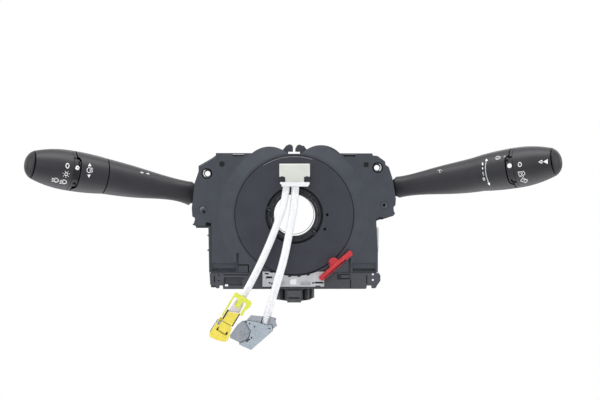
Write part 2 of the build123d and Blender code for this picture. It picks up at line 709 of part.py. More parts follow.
def main_connector():
    left, right = MAIN_CONNECTOR
    width = right - left
    deep = MAIN_CONNECTOR_FRONT - MAIN_CONNECTOR_BACK
    height = HOUSING_BOTTOM - MAIN_CONNECTOR_BOTTOM
    middle = ((left + right) / 2, -(MAIN_CONNECTOR_BACK + MAIN_CONNECTOR_FRONT) / 2)
    with BuildPart() as connector:
        with BuildSketch(Plane.XY.offset(MAIN_CONNECTOR_BOTTOM)):
            with Locations(middle):
                RectangleRounded(width, deep, 2.5)
        extrude(amount=height)
        # the mouth is bowed: deepest in the middle, with a corner taken off
        with BuildSketch(lower(0)):
            with BuildLine():
                Polyline(*MOUTH_OUTLINE, close=True)
            make_face()
        extrude(amount=2 * HOUSING_DEPTH, mode=Mode.INTERSECT)
        with BuildSketch(Plane.XY.offset(MAIN_CONNECTOR_BOTTOM)):
            with Locations(middle):
                Rectangle(width - 2 * CONNECTOR_WALL, deep - 2 * CONNECTOR_WALL)
        extrude(amount=height - 1.8, mode=Mode.SUBTRACT)
        with BuildSketch(Plane.XY.offset(MAIN_CONNECTOR_BOTTOM)):
            for offset_row in (-1.7, 1.7):
                with Locations((middle[0], middle[1] + offset_row)):
                    with GridLocations(PIN_PITCH, 1, 7, 1):
                        Rectangle(PIN_SIZE + 0.1, PIN_SIZE + 0.1)
        extrude(amount=20, mode=Mode.SUBTRACT)
        # upright grooves beside the outer rib
        with BuildSketch(lower(MAIN_CONNECTOR_FRONT - 1.0)):
            with Locations((9.4, -7.0)):
                Rectangle(2.0, 14.0)
            with Locations((12.7, -7.0)):
                Rectangle(0.8, 14.0)
        extrude(amount=5, mode=Mode.SUBTRACT)
        # keying latch in front of the mouth
        with BuildSketch(lower(MAIN_CONNECTOR_FRONT)):
            with Locations((-0.1, (KEY_TOP + KEY_BOTTOM) / 2)):
                Rectangle(11.8, KEY_TOP - KEY_BOTTOM)
            with Locations((-0.1, -9.1)):
                Rectangle(9.6, 1.6, mode=Mode.SUBTRACT)
        extrude(amount=3.5)
    save(connector, "main_connector")


def connector_pins():
    middle = (sum(MAIN_CONNECTOR) / 2, -(MAIN_CONNECTOR_BACK + MAIN_CONNECTOR_FRONT) / 2)
    with BuildPart() as pins:
        with BuildSketch(Plane.XY.offset(HOUSING_BOTTOM - 6.9)):
            for offset_row in (-1.7, 1.7):
                with Locations((middle[0], middle[1] + offset_row)):
                    with GridLocations(PIN_PITCH, 1, 7, 1):
                        Rectangle(PIN_SIZE, PIN_SIZE)
        extrude(amount=11.5)
    save(pins, "connector_pins")


def side_connector():
    low, high = SIDE_CONNECTOR
    middle = (-(SIDE_CONNECTOR_BACK + SIDE_CONNECTOR_FRONT) / 2, (low + high) / 2)
    deep = SIDE_CONNECTOR_FRONT - SIDE_CONNECTOR_BACK
    inner_face = SIDE_WALL_X - HOUSING_WALL
    with BuildPart() as connector:
        with BuildSketch(Plane.YZ.offset(58)):
            with Locations(middle):
                Rectangle(deep - GAP, high - low - GAP)
        extrude(amount=SIDE_CONNECTOR_X - 58)
        with BuildSketch(Plane.YZ.offset(inner_face - 1.5)):
            with Locations(middle):
                Rectangle(deep + 1.4, high - low + 2.0)
        extrude(amount=1.5)
        with BuildSketch(Plane.YZ.offset(61)):
            with Locations(middle):
                Rectangle(deep - 3.6, high - low - 3.6)
        extrude(amount=20, mode=Mode.SUBTRACT)
    save(connector, "side_connector")


# ------------------------------------------------------------------ spiral cable cassette
def clock_spring_stator():
    inner = STATOR_R - STATOR_WALL
    with BuildPart() as stator:
        with BuildSketch(facing(STATOR_BASE_DEPTH)):
            Circle(STATOR_R)
        extrude(amount=COVER_FRONT + STATOR_FLANGE_THICK - STATOR_BASE_DEPTH)
        with BuildSketch(facing(COVER_FRONT)):
            Circle(STATOR_R + STATOR_FLANGE_WIDTH)
        extrude(amount=STATOR_FLANGE_THICK)
        with BuildSketch(facing(STATOR_BASE_DEPTH + STATOR_BASE_THICK)):
            Circle(inner)
        extrude(amount=HOUSING_DEPTH, mode=Mode.SUBTRACT)
        with BuildSketch(facing(STATOR_BASE_DEPTH)):
            Circle(HUB_OUTER + 2 * FIT)
        extrude(amount=HOUSING_DEPTH, mode=Mode.SUBTRACT)
    save(stator, "clock_spring_stator")


def flat_cable_spiral():
    """A ribbon of half circles whose centres alternate, so that the spiral winds inward."""
    base = STATOR_BASE_DEPTH + STATOR_BASE_THICK
    shift = RIBBON_PITCH / 4
    radius = STATOR_R - STATOR_WALL - shift - RIBBON_THICK
    with BuildPart() as ribbon:
        with BuildSketch(facing(base)):
            with BuildLine():
                for half_turn in range(2 * RIBBON_TURNS):
                    side = 1 if half_turn % 2 == 0 else -1
                    reach = radius - half_turn * 2 * shift
                    middle = shift * side
                    ThreePointArc(
                        (middle + side * reach, 0), (middle, side * reach), (middle - side * reach, 0)
                    )
                offset(amount=RIBBON_THICK, side=Side.LEFT)
            make_face()
        extrude(amount=14)
    save(ribbon, "flat_cable_spiral")


def rotor_disc():
    with BuildPart() as disc:
        with BuildSketch(facing(DISC_BACK)):
            Circle(DISC_R)
        extrude(amount=DISC_THICK)
        chamfer(disc.edges().group_by(Axis.Y)[0].sort_by(SortBy.RADIUS)[-1], 0.6)
        # a deeper boss round the hub takes the groove
        with BuildSketch(facing(DISC_BACK - BOSS_DEPTH)):
            Circle(GROOVE_R + 1.6)
        extrude(amount=BOSS_DEPTH)
        with BuildSketch(facing(DISC_BACK - BOSS_DEPTH)):
            Circle(HUB_OUTER + FIT)
            with Locations((28.0, 0.2), (25.9, -12.0)):
                Circle(1.15)
        extrude(amount=20, mode=Mode.SUBTRACT)
        with BuildSketch(facing(DISC_BACK - BOSS_DEPTH + 0.8)):
            Circle(GROOVE_R)
            Circle(HUB_OUTER + HUB_RIM_WIDTH, mode=Mode.SUBTRACT)
        extrude(amount=20, mode=Mode.SUBTRACT)
        with BuildSketch(facing(DISC_FRONT - HUB_RIM_THICK)):
            Circle(GROOVE_R)
        extrude(amount=5, mode=Mode.SUBTRACT)
        # rounded hooks that hold the cable guide
        with BuildSketch(facing(DISC_FRONT)):
            for side in (-1, 1):
                with Locations((GUIDE_CENTRE + side * 10.6, 30.6)):
                    Circle(2.1)
        extrude(amount=GUIDE_THICK - 2)
    save(disc, "rotor_disc")


def hub_sleeve():
    rim_r = HUB_OUTER + HUB_RIM_WIDTH
    with BuildPart() as hub:
        with BuildSketch(facing(HUB_REAR_DEPTH)):
            Circle(HUB_OUTER)
            Circle(HUB_R, mode=Mode.SUBTRACT)
        extrude(amount=DISC_FRONT - HUB_REAR_DEPTH)
        with BuildSketch(facing(DISC_FRONT - HUB_RIM_THICK)):
            Circle(rim_r)
            Circle(HUB_R, mode=Mode.SUBTRACT)
            # snap clips across the groove
            for angle in HUB_CLIP_ANGLES:
                with PolarLocations(rim_r, 1, start_angle=angle):
                    Rectangle(2 * GROOVE_WIDTH - 0.8, 3.2)
            Circle(HUB_R, mode=Mode.SUBTRACT)
        extrude(amount=HUB_RIM_THICK)
        # pockets round the rim and a slit beside each clip
        with BuildSketch(facing(DISC_FRONT - 1.1)):
            with PolarLocations(HUB_R + 2.9, HUB_POCKETS):
                Rectangle(1.2, 3.0)
            for angle in HUB_CLIP_ANGLES:
                with PolarLocations(rim_r, 1, start_angle=angle + 6):
                    Rectangle(8.0, 0.7)
        extrude(amount=5, mode=Mode.SUBTRACT)
    save(hub, "hub_sleeve")


def hub_lock_ring():
    front = STATOR_BASE_DEPTH - GAP
    back = HUB_REAR_DEPTH + CAM_THICK
    with BuildPart() as ring:
        with BuildSketch(facing(back)):
            Circle(HUB_OUTER + LOCK_RING_WIDTH)
            Circle(HUB_OUTER + FIT, mode=Mode.SUBTRACT)
        extrude(amount=front - back)
    save(ring, "hub_lock_ring")


def cancel_cam():
    with BuildPart() as cam:
        with BuildSketch(facing(HUB_REAR_DEPTH)):
            Circle(HUB_OUTER + LOCK_RING_WIDTH - 1)
            with PolarLocations(HUB_OUTER + 2, 2, start_angle=45, angular_range=180, endpoint=False):
                SlotOverall(2 * CAM_LOBE, CAM_LOBE)
            Circle(HUB_OUTER + FIT, mode=Mode.SUBTRACT)
        extrude(amount=CAM_THICK)
    save(cam, "cancel_cam")


# ------------------------------------------------------------------ cable guide and sleeves
def cable_guide():
    with BuildPart() as guide:
        with BuildSketch(facing(DISC_FRONT)):
            with Locations((GUIDE_CENTRE, (GUIDE_TOP + GUIDE_BOTTOM) / 2)):
                RectangleRounded(GUIDE_WIDTH, GUIDE_TOP - GUIDE_BOTTOM, 0.8)
            with Locations((GUIDE_CENTRE, (GUIDE_BOTTOM + NECK_BOTTOM) / 2 + 0.5)):
                Rectangle(NECK_WIDTH, GUIDE_BOTTOM - NECK_BOTTOM + 1)
            for side in (-1, 1):
                with Locations((GUIDE_CENTRE + side * 10.6, 30.6)):
                    Circle(2.1 + GAP, mode=Mode.SUBTRACT)
        extrude(amount=GUIDE_THICK)
        fillet(guide.edges().group_by(Axis.Y)[0].group_by(Axis.Z)[-1], 0.8)
    save(guide, "cable_guide")


def guide_flange():
    with BuildPart() as flange:
        with BuildSketch(facing(DISC_FRONT + 0.2)):
            with BuildLine():
                Polyline(*FLANGE_OUTLINE, close=True)
            make_face()
        extrude(amount=GUIDE_THICK + 1.4)
        with BuildSketch(Plane.XY.offset(FLANGE_BOTTOM)):
            for route, diameter in ((AIRBAG_ROUTE, AIRBAG_SLEEVE_D), (HORN_ROUTE, HORN_SLEEVE_D)):
                with Locations((route[0][0], route[0][1])):
                    Circle(diameter / 2 + SLEEVE_CLEARANCE)
        extrude(amount=NECK_BOTTOM - FLANGE_BOTTOM, mode=Mode.SUBTRACT)
    save(flange, "guide_flange")


def corner_radii(route):
    """As large an arc at each corner of a route as its two runs allow."""
    points = [Vector(*point) for point in route]
    radii = []
    for before, corner, after in zip(points, points[1:], points[2:]):
        arrive = corner - before
        leave = after - corner
        half_turn = radians(arrive.get_angle(leave)) / 2
        radii.append(0.45 * min(arrive.length, leave.length) / tan(half_turn))
    return radii


def cable_sleeve(name, route, diameter):
    radii = corner_radii(route)
    print(name, "radii", [round(radius) for radius in radii])
    with BuildPart() as sleeve:
        with BuildLine():
            path = FilletPolyline(*route, radius=radii)
        with BuildSketch(Plane(path @ 0, z_dir=path % 0)):
            Circle(diameter / 2)
        sweep()
    share = sleeve.part.volume / (path.length * pi * diameter**2 / 4)
    print(name, "length", round(path.length, 1), "volume over section times length", round(share, 4))
    save(sleeve, name)


# ------------------------------------------------------------------ plugs
def airbag_plane(depth):
    """Face of the airbag plug: y runs up its axis towards the cable."""
    along_x, along_z = AIRBAG_AXIS
    return Plane(
        (AIRBAG_TOP[0], -depth, AIRBAG_TOP[1]), x_dir=(along_z, 0, -along_x), z_dir=(0, -1, 0)
    )


def airbag_plug_body():
    thick = PLUG_FRONT - PLUG_BACK
    half_width = AIRBAG_BLOCK_WIDTH / 2
    with BuildPart() as body:
        with BuildSketch(airbag_plane(PLUG_BACK)):
            with BuildLine():
                Polyline(
                    (-half_width, -AIRBAG_NOSE_TOP - 1),
                    (-half_width, -AIRBAG_BLOCK_TOP - AIRBAG_BLOCK_SLANT),
                    (half_width, -AIRBAG_BLOCK_TOP),
                    (half_width, -AIRBAG_NOSE_TOP - 1),
                    close=True,
                )
            make_face()
            with BuildLine():
                Polyline(*AIRBAG_NOSE_OUTLINE, close=True)
            make_face()
            # stub that the lock's long arm closes on
            with Locations((AIRBAG_RAIL[0] + AIRBAG_RAIL_WIDTH / 2, -AIRBAG_NOSE_TOP)):
                Rectangle(AIRBAG_RAIL_WIDTH, 2 * AIRBAG_STUB)
        extrude(amount=thick)
        # latch tongue outlined by a U-shaped slit, and the seam above it
        with BuildSketch(airbag_plane(PLUG_FRONT - 1.6)):
            with Locations((-0.4, -34.3)):
                Rectangle(9.4, 3.4)
                with Locations((0, 1.0)):
                    Rectangle(7.4, 3.4, mode=Mode.SUBTRACT)
            with Locations((0, -AIRBAG_NOSE_TOP + AIRBAG_STUB)):
                Rectangle(AIRBAG_BLOCK_WIDTH + 1, 0.5)
        extrude(amount=3, mode=Mode.SUBTRACT)
    save(body, "airbag_plug_body")


def airbag_plug_lock():
    tongue_end = AIRBAG_BLOCK_TOP - AIRBAG_LOCK_TRAVEL - GAP
    with BuildPart() as lock:
        with BuildSketch(airbag_plane(AIRBAG_LOCK_BACK)):
            with Locations((0, -AIRBAG_LOCK_BAR / 2)):
                Rectangle(2 * AIRBAG_RAIL[1], AIRBAG_LOCK_BAR)
            with Locations((AIRBAG_RAIL[0] + AIRBAG_RAIL_WIDTH / 2, -AIRBAG_LONG_ARM / 2)):
                Rectangle(AIRBAG_RAIL_WIDTH, AIRBAG_LONG_ARM)
            with Locations((AIRBAG_RAIL[1] - AIRBAG_SHORT_WIDTH / 2, -AIRBAG_SHORT_ARM / 2)):
                Rectangle(AIRBAG_SHORT_WIDTH, AIRBAG_SHORT_ARM)
            with Locations((0, -tongue_end / 2)):
                Rectangle(AIRBAG_TONGUE_WIDTH, tongue_end)
            with BuildLine():
                Polyline((7.2, 0), (9.6, -1.5), (9.4, -5.5), (7.2, -11), close=True)
            make_face()
        extrude(amount=PLUG_FRONT - AIRBAG_LOCK_BACK)
    save(lock, "airbag_plug_lock")


def airbag_wire_boot():
    """Flat flared boot round the end of the sleeve, behind the lock's tongue."""
    back = PLUG_BACK + GAP
    front = AIRBAG_LOCK_BACK - GAP
    short_side = -AIRBAG_BLOCK_TOP + GAP
    long_side = short_side - AIRBAG_BLOCK_SLANT
    with BuildPart() as boot:
        with BuildSketch(airbag_plane(back)):
            with BuildLine():
                Polyline(
                    (-3.7, -BOOT_TOP), (3.7, -BOOT_TOP), (4.6, short_side), (-4.6, long_side),
                    close=True,
                )
            make_face()
        extrude(amount=front - back)
        axis_x, axis_z = AIRBAG_AXIS
        with BuildSketch(Plane(AIRBAG_ROUTE[-1], z_dir=(axis_x, 0, axis_z)).offset(-3)):
            Circle(AIRBAG_SLEEVE_D / 2 + 0.2)
        extrude(amount=AIRBAG_LENGTH, mode=Mode.SUBTRACT)
    save(boot, "airbag_wire_boot")


def horn_channel():
    """Channel that is open to the front and follows the end of the horn sleeve."""
    (x1, _, z1), (x2, depth_y, z2) = HORN_ROUTE[-2:]
    length = hypot(x1 - x2, z1 - z2)
    toward = ((x1 - x2) / length, (z1 - z2) / length)
    middle = (x2 + 7.5 * toward[0], z2 + 7.5 * toward[1])
    lean = degrees(atan2(x1 - x2, z1 - z2))
    with BuildSketch(facing(-depth_y - HORN_SLEEVE_D / 2 - 0.2)) as channel:
        with Locations(Location((*middle, 0), (0, 0, -lean))):
            Rectangle(HORN_SLEEVE_D + 0.5, 16)
    return channel.sketch


HORN_CAP_OUTLINE = [
    (-40.3, -89.0), (-36.7, -85.1), (-18.2, -87.0), (-16.2, -88.8), (-14.6, -94.2),
    (-17.9, -96.6), (-18.9, -93.1),
]
HORN_BODY_OUTLINE = [
    (-40.4, -89.3), (-19.2, -93.4), (-18.2, -98.6), (-36.7, -114.8), (-46.8, -110.2),
    (-46.4, -108.9), (-41.6, -107.3), (-38.4, -104.2), (-37.0, -98.5), (-40.5, -92.6),
]
HORN_LATCH_OUTLINE = [
    (-43.7, -89.6), (-48.6, -93.5), (-54.6, -102.2), (-54.7, -104.4), (-47.1, -108.1),
    (-46.2, -108.3), (-41.9, -106.9), (-38.8, -104.0), (-37.4, -98.6), (-41.0, -92.4),
]
# thin plate that carries all three pieces
HORN_BASE_OUTLINE = [
    (-43.5, -90.2), (-48.3, -93.9), (-54.2, -102.3), (-54.3, -104.1), (-47.0, -107.7),
    (-46.8, -110.2), (-36.7, -114.8), (-18.2, -98.6), (-18.0, -96.3), (-15.0, -94.0),
    (-16.5, -89.0), (-18.4, -87.3), (-36.5, -85.5), (-40.0, -89.2),
]


def horn_plug_body():
    with BuildPart() as body:
        with BuildSketch(facing(PLUG_BACK)):
            with BuildLine():
                Polyline(*HORN_BODY_OUTLINE, close=True)
            make_face()
        extrude(amount=PLUG_FRONT - PLUG_BACK - 0.5)
        with BuildSketch(facing(PLUG_BACK)):
            with BuildLine():
                Polyline(*HORN_BASE_OUTLINE, close=True)
            make_face()
        extrude(amount=HORN_BASE_THICK)
        extrude(horn_channel(), amount=20, mode=Mode.SUBTRACT)
        # test holes and the latch window
        with BuildSketch(facing(PLUG_FRONT - 4)):
            with Locations((-38.0, -92.4), (-33.8, -95.0), (-36.4, -104.3)):
                Circle(0.7)
            with Locations(Location((-39.4, -106.5, 0), (0, 0, 42))):
                Rectangle(3.8, 1.5)
            with Locations((-21.3, -96.4)):
                Rectangle(1.8, 0.9)
        extrude(amount=10, mode=Mode.SUBTRACT)
    save(body, "horn_plug_body")


def horn_plug_cap():
    with BuildPart() as cap:
        with BuildSketch(facing(PLUG_BACK + HORN_BASE_THICK + 0.1)):
            with BuildLine():
                Polyline(*HORN_CAP_OUTLINE, close=True)
            make_face()
        extrude(amount=PLUG_FRONT - PLUG_BACK - HORN_BASE_THICK - 1.1)
        extrude(horn_channel(), amount=20, mode=Mode.SUBTRACT)
    save(cap, "horn_plug_cap")


def horn_plug_latch():
    with BuildPart() as latch:
        with BuildSketch(facing(PLUG_BACK + HORN_BASE_THICK + 0.1)):
            with BuildLine():
                Polyline(*HORN_LATCH_OUTLINE, close=True)
            make_face()
        extrude(amount=PLUG_FRONT - PLUG_BACK - HORN_BASE_THICK - 2.1)
        # ridge on the latch's back
        with BuildSketch(facing(PLUG_FRONT - 2.0)):
            with Locations(Location((-44.0, -100.6, 0), (0, 0, -38))):
                Rectangle(4.2, 1.2)
        extrude(amount=1.0)
    save(latch, "horn_plug_latch")


# ------------------------------------------------------------------ transport lock
def lock_middle():
    """Middle of the bar, where its peg stands in the cover."""
    (x1, z1), (x2, z2) = LOCK_ENDS
    return ((x1 + x2) / 2, (z1 + z2) / 2)


def transport_lock():
    (x1, z1), (x2, z2) = LOCK_ENDS
    length = hypot(x1 - x2, z1 - z2)
    slope = degrees(atan2(z1 - z2, x1 - x2))
    half = length / 2
    side = LOCK_WIDTH / 2
    with BuildPart() as lock:
        with BuildSketch(facing(LOCK_DEPTH)):
            with Locations(Location((*lock_middle(), 0), (0, 0, slope))):
                Polygon(
                    (-half, -side * 0.6),
                    (-half + 1.6, -side),
                    (half - 1.2, -side),
                    (half, -side * 0.3),
                    (half, side * 0.7),
                    (half - 1.8, side),
                    (-half + 0.8, side),
                    (-half, side * 0.6),
                    align=None,
                )
            with Locations(LOCK_HEAD):
                Circle(LOCK_HEAD_R)
        extrude(amount=LOCK_THICK)
        with BuildSketch(facing(HOUSING_DEPTH + 0.5)):
            with Locations(lock_middle()):
                Circle(LOCK_PEG_R)
        extrude(amount=LOCK_DEPTH - HOUSING_DEPTH)
        # grip rib along the middle of the bar
        with BuildSketch(facing(LOCK_DEPTH + LOCK_THICK)):
            with Locations(Location((*lock_middle(), 0), (0, 0, slope))):
                SlotOverall(length - 2.0, 1.9)
        extrude(amount=1.3)
        with BuildSketch(facing(LOCK_DEPTH + LOCK_THICK - 1.5)):
            with Locations((41.9, -40.4)):
                Circle(0.6)
        extrude(amount=5, mode=Mode.SUBTRACT)
    save(lock, "transport_lock")


# ------------------------------------------------------------------ stalk mechanism
def eye_y():
    return -(STALK_ROOT_DEPTH - (STALK_ROOT_X - EYE_X) / cos(radians(STALK_TILT)) * tan(radians(STALK_LEAN)))


def carrier(stalk):
    ear_top = EYE_HALF + GAP + EAR_THICK
    middle_y = -(CARRIER_BACK + CARRIER_FRONT) / 2
    with BuildPart() as piece:
        with BuildSketch(Plane.XY.offset(stalk.pivot_z - ear_top)):
            with Locations((stalk.side * PIVOT_X, middle_y)):
                Rectangle(2 * CARRIER_HALF, CARRIER_FRONT - CARRIER_BACK)
            with Locations((stalk.side * EYE_X, eye_y())):
                Circle(EAR_HALF_WIDTH)
            with Locations((stalk.side * (EYE_X + PIVOT_X) / 2, eye_y())):
                Rectangle(EYE_X - PIVOT_X, 2 * EAR_HALF_WIDTH)
        extrude(amount=2 * ear_top)
        with BuildSketch(Plane.XY.offset(stalk.pivot_z - EYE_HALF - GAP)):
            with Locations((stalk.side * (PIVOT_X + CARRIER_HALF + 15), eye_y())):
                Rectangle(30, 30)
        extrude(amount=2 * (EYE_HALF + GAP), mode=Mode.SUBTRACT)
        with BuildSketch(Plane.XY.offset(stalk.pivot_z + ear_top)):
            with Locations((stalk.side * PIVOT_X, -PLUNGER_DEPTH)):
                Circle(PLUNGER_R + 1.6)
        extrude(amount=PLUNGER_BOSS - ear_top)
        with BuildSketch(Plane.XY.offset(stalk.pivot_z + ear_top - 2)):
            with Locations((stalk.side * PIVOT_X, -PLUNGER_DEPTH)):
                Circle(PLUNGER_R + FIT)
        extrude(amount=PLUNGER_BOSS, mode=Mode.SUBTRACT)
        with BuildSketch(facing(0)):
            with Locations((stalk.side * PIVOT_X, stalk.pivot_z)):
                Circle(PIVOT_R + FIT)
        extrude(amount=HOUSING_DEPTH, mode=Mode.SUBTRACT)
        with BuildSketch(Plane.XY.offset(stalk.pivot_z - ear_top)):
            with Locations((stalk.side * EYE_X, eye_y())):
                Circle(PULL_PIN_R + FIT)
        extrude(amount=2 * ear_top, mode=Mode.SUBTRACT)
    save(piece, f"{stalk.name}_carrier")


def pivot_pin(stalk):
    with BuildPart() as pin:
        with BuildSketch(facing(BACK_WALL)):
            with Locations((stalk.side * PIVOT_X, stalk.pivot_z)):
                Circle(PIVOT_R)
        extrude(amount=HOUSING_DEPTH - BACK_WALL)
    save(pin, f"{stalk.name}_pivot_pin")


def pull_pin(stalk):
    ear_top = EYE_HALF + GAP + EAR_THICK
    with BuildPart() as pin:
        with BuildSketch(Plane.XY.offset(stalk.pivot_z - ear_top)):
            with Locations((stalk.side * EYE_X, eye_y())):
                Circle(PULL_PIN_R)
        extrude(amount=2 * ear_top)
    save(pin, f"{stalk.name}_pull_pin")


def detent_plunger(stalk):
    ear_top = EYE_HALF + GAP + EAR_THICK
    low = stalk.pivot_z + ear_top - 2
    high = stalk.pivot_z + TRACK_R - GAP
    with BuildPart() as plunger:
        with BuildSketch(Plane.XY.offset(low)):
            with Locations((stalk.side * PIVOT_X, -PLUNGER_DEPTH)):
                Circle(PLUNGER_R)
        extrude(amount=high - low)
        fillet(plunger.edges().group_by(Axis.Z)[-1], PLUNGER_R * 0.9)
    save(plunger, f"{stalk.name}_detent_plunger")


def detent_track(stalk):
    """An arc about the pivot that the plunger runs along."""
    with BuildPart() as track:
        with BuildSketch(facing(BACK_WALL)):
            with Locations((stalk.side * PIVOT_X, stalk.pivot_z)):
                Circle(TRACK_R + TRACK_THICK)
                Circle(TRACK_R, mode=Mode.SUBTRACT)
            with Locations((stalk.side * PIVOT_X, stalk.pivot_z)):
                Polygon(
                    (0, 0),
                    (-50 * tan(radians(TRACK_SWEEP / 2)), 50),
                    (50 * tan(radians(TRACK_SWEEP / 2)), 50),
                    align=None,
                    mode=Mode.INTERSECT,
                )
        extrude(amount=PLUNGER_DEPTH + PLUNGER_R + 1 - BACK_WALL)
    save(track, f"{stalk.name}_detent_track")


def lever(stalk):
    form_start = stalk.seam - FORM_START
    neck_end = 3.0
    eye_station = (EYE_X - STALK_ROOT_X) / (cos(radians(STALK_TILT)) * cos(radians(STALK_LEAN)))
    with BuildPart() as piece:
        for distance, half_height, half_depth, rise in stalk.sections:
            with BuildSketch(across(stalk, distance)):
                with Locations((0, rise)):
                    Ellipse(half_depth, half_height)
        with BuildSketch(across(stalk, form_start)):
            Circle(15.2)
        loft()
        if stalk.body_end > form_start:
            revolve(handle_slice(stalk, form_start, stalk.body_end, 0), axis=stalk_axis(stalk))
        with BuildSketch(across(stalk, neck_end)):
            with Locations((0, stalk.neck_rise)):
                Rectangle(2 * NECK_HALF, 2 * NECK_HALF)
        extrude(amount=-(neck_end - eye_station))
        with BuildSketch(Plane.XY.offset(stalk.pivot_z - EYE_HALF)):
            with Locations((stalk.side * EYE_X, eye_y())):
                Circle(EYE_R)
        extrude(amount=2 * EYE_HALF)
        with BuildSketch(Plane.XY.offset(stalk.pivot_z - EYE_HALF)):
            with Locations((stalk.side * EYE_X, eye_y())):
                Circle(PULL_PIN_R + FIT)
        extrude(amount=2 * EYE_HALF, mode=Mode.SUBTRACT)
        with BuildSketch(across(stalk, stalk.body_end - CORE_SOCKET)):
            Circle(SWITCH_CORE_R + FIT)
        extrude(amount=CORE_SOCKET + 5, mode=Mode.SUBTRACT)
        if stalk.body_end > form_start:
            with BuildSketch(driver_side(stalk)):
                tab_outline(stalk, SEAM_GAP)
            extrude(amount=30, mode=Mode.SUBTRACT)
    save(piece, f"{stalk.name}_lever")


def tab_outline(stalk, grow, sweep_up=0.0, sweep_down=0.0):
    """D-shaped outline of the index tab, grown by a clearance."""
    reach = TAB_DEPTH + grow
    top = TAB_TOP + grow + sweep_up
    bottom = TAB_BOTTOM + grow + sweep_down
    width = reach + 10
    middle = stalk.seam + SEAM_GAP / 2 - reach + width / 2
    with Locations((stalk.side * middle, (top - bottom) / 2)):
        RectangleRounded(width, top + bottom, TAB_CORNER + grow)


def switch_core(stalk):
    start = stalk.body_end - CORE_SOCKET
    with BuildPart() as core:
        with BuildSketch(across(stalk, start)):
            Circle(SWITCH_CORE_R)
        extrude(amount=stalk.seam + CORE_END - start)
        with BuildSketch(across(stalk, stalk.seam + CORE_CUP)):
            Circle(BUTTON_STEM_R + FIT)
        extrude(amount=CORE_END, mode=Mode.SUBTRACT)
    save(core, f"{stalk.name}_switch_core")


def index_ring(stalk, name):
    start = stalk.seam + SEAM_GAP / 2
    end = start + 2.2
    with BuildPart() as ring:
        with BuildSketch(driver_side(stalk)):
            tab_outline(stalk, 0)
        extrude(amount=30)
        revolve(
            handle_slice(stalk, start - TAB_DEPTH - 1, start + 0.5, 17.0 - TAB_THICK),
            axis=stalk_axis(stalk),
            mode=Mode.INTERSECT,
        )
        revolve(handle_slice(stalk, start, end, SWITCH_CORE_R + FIT), axis=stalk_axis(stalk))
    save(ring, name)


def barrel_end(stalk):
    return stalk.seam + 35.0


def barrel(stalk, name):
    start = stalk.seam + SEAM_GAP / 2 + 2.2 + BARREL_GAP
    with BuildPart() as piece:
        revolve(
            handle_slice(stalk, start, barrel_end(stalk), SWITCH_CORE_R + FIT),
            axis=stalk_axis(stalk),
        )
    save(piece, name)


def fog_ring(stalk):
    start = stalk.body_end + RING_GAP
    end = stalk.seam - SEAM_GAP / 2
    with BuildPart() as ring:
        revolve(
            handle_slice(stalk, start, end, SWITCH_CORE_R + FIT), axis=stalk_axis(stalk)
        )
        with BuildSketch(driver_side(stalk)):
            tab_outline(stalk, SEAM_GAP, 1.2, 1.2)
        extrude(amount=30, mode=Mode.SUBTRACT)
        # the tab's root passes through the ring's wall only
    save(ring, "fog_ring")


def end_cap(stalk):
    start = barrel_end(stalk) + BUTTON_GAP
    with BuildPart() as cap:
        revolve(
            handle_slice(stalk, start, stalk.seam + HANDLE_END, 0), axis=stalk_axis(stalk)
        )
    save(cap, f"{stalk.name}_end_button")


def button_plunger(stalk):
    """Guide rod behind the cap, in line with the push switch in the handle's core."""
    start = stalk.seam + CORE_CUP + SWITCH_HEIGHT + BUTTON_GAP
    with BuildPart() as plunger:
        with BuildSketch(across(stalk, start)):
            Circle(BUTTON_STEM_R)
        extrude(amount=barrel_end(stalk) + BUTTON_GAP - start)
    save(plunger, f"{stalk.name}_button_plunger")


def button_switch(stalk):
    with BuildPart() as switch:
        with BuildSketch(across(stalk, stalk.seam + CORE_CUP)):
            Circle(SWITCH_R)
        extrude(amount=SWITCH_HEIGHT)
    save(switch, f"{stalk.name}_button_switch")


def main():
    os.makedirs("parts", exist_ok=True)
    rear_housing()
    front_cover()
    connector_tray()
    latch_bracket()
    cover_screws()
    column_collar()
    clamp_screw()
    clamp_nut()
    circuit_board()
    main_connector()
    connector_pins()
    side_connector()
    clock_spring_stator()
    flat_cable_spiral()
    rotor_disc()
    hub_sleeve()
    hub_lock_ring()
    cancel_cam()
    cable_guide()
    guide_flange()
    cable_sleeve("airbag_cable_sleeve", AIRBAG_ROUTE, AIRBAG_SLEEVE_D)
    cable_sleeve("horn_cable_sleeve", HORN_ROUTE, HORN_SLEEVE_D)
    airbag_plug_body()
    airbag_plug_lock()
    airbag_wire_boot()
    horn_plug_body()
    horn_plug_cap()
    horn_plug_latch()
    transport_lock()
    for stalk in (LEFT, RIGHT):
        pivot_pin(stalk)
        detent_track(stalk)
        carrier(stalk)
        pull_pin(stalk)
        detent_plunger(stalk)
        lever(stalk)
        switch_core(stalk)
        end_cap(stalk)
        button_plunger(stalk)
        button_switch(stalk)
    index_ring(LEFT, "light_index_ring")
    barrel(LEFT, "light_barrel")
    fog_ring(LEFT)
    index_ring(RIGHT, "wiper_index_ring")
    barrel(RIGHT, "rear_wiper_barrel")


if __name__ == "__main__":
    main()
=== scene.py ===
"""A combination stalk switch: stalks, spiral cable module, plugs and their sleeved leads.

Places and sizes on the part are in millimetres in its own frame: x to the right, y to the back and z up. The
camera, the lamps and the floor are in metres. Flat marks are given across and up, as they are seen from the
front, and angles are in degrees.
"""

import json
import math

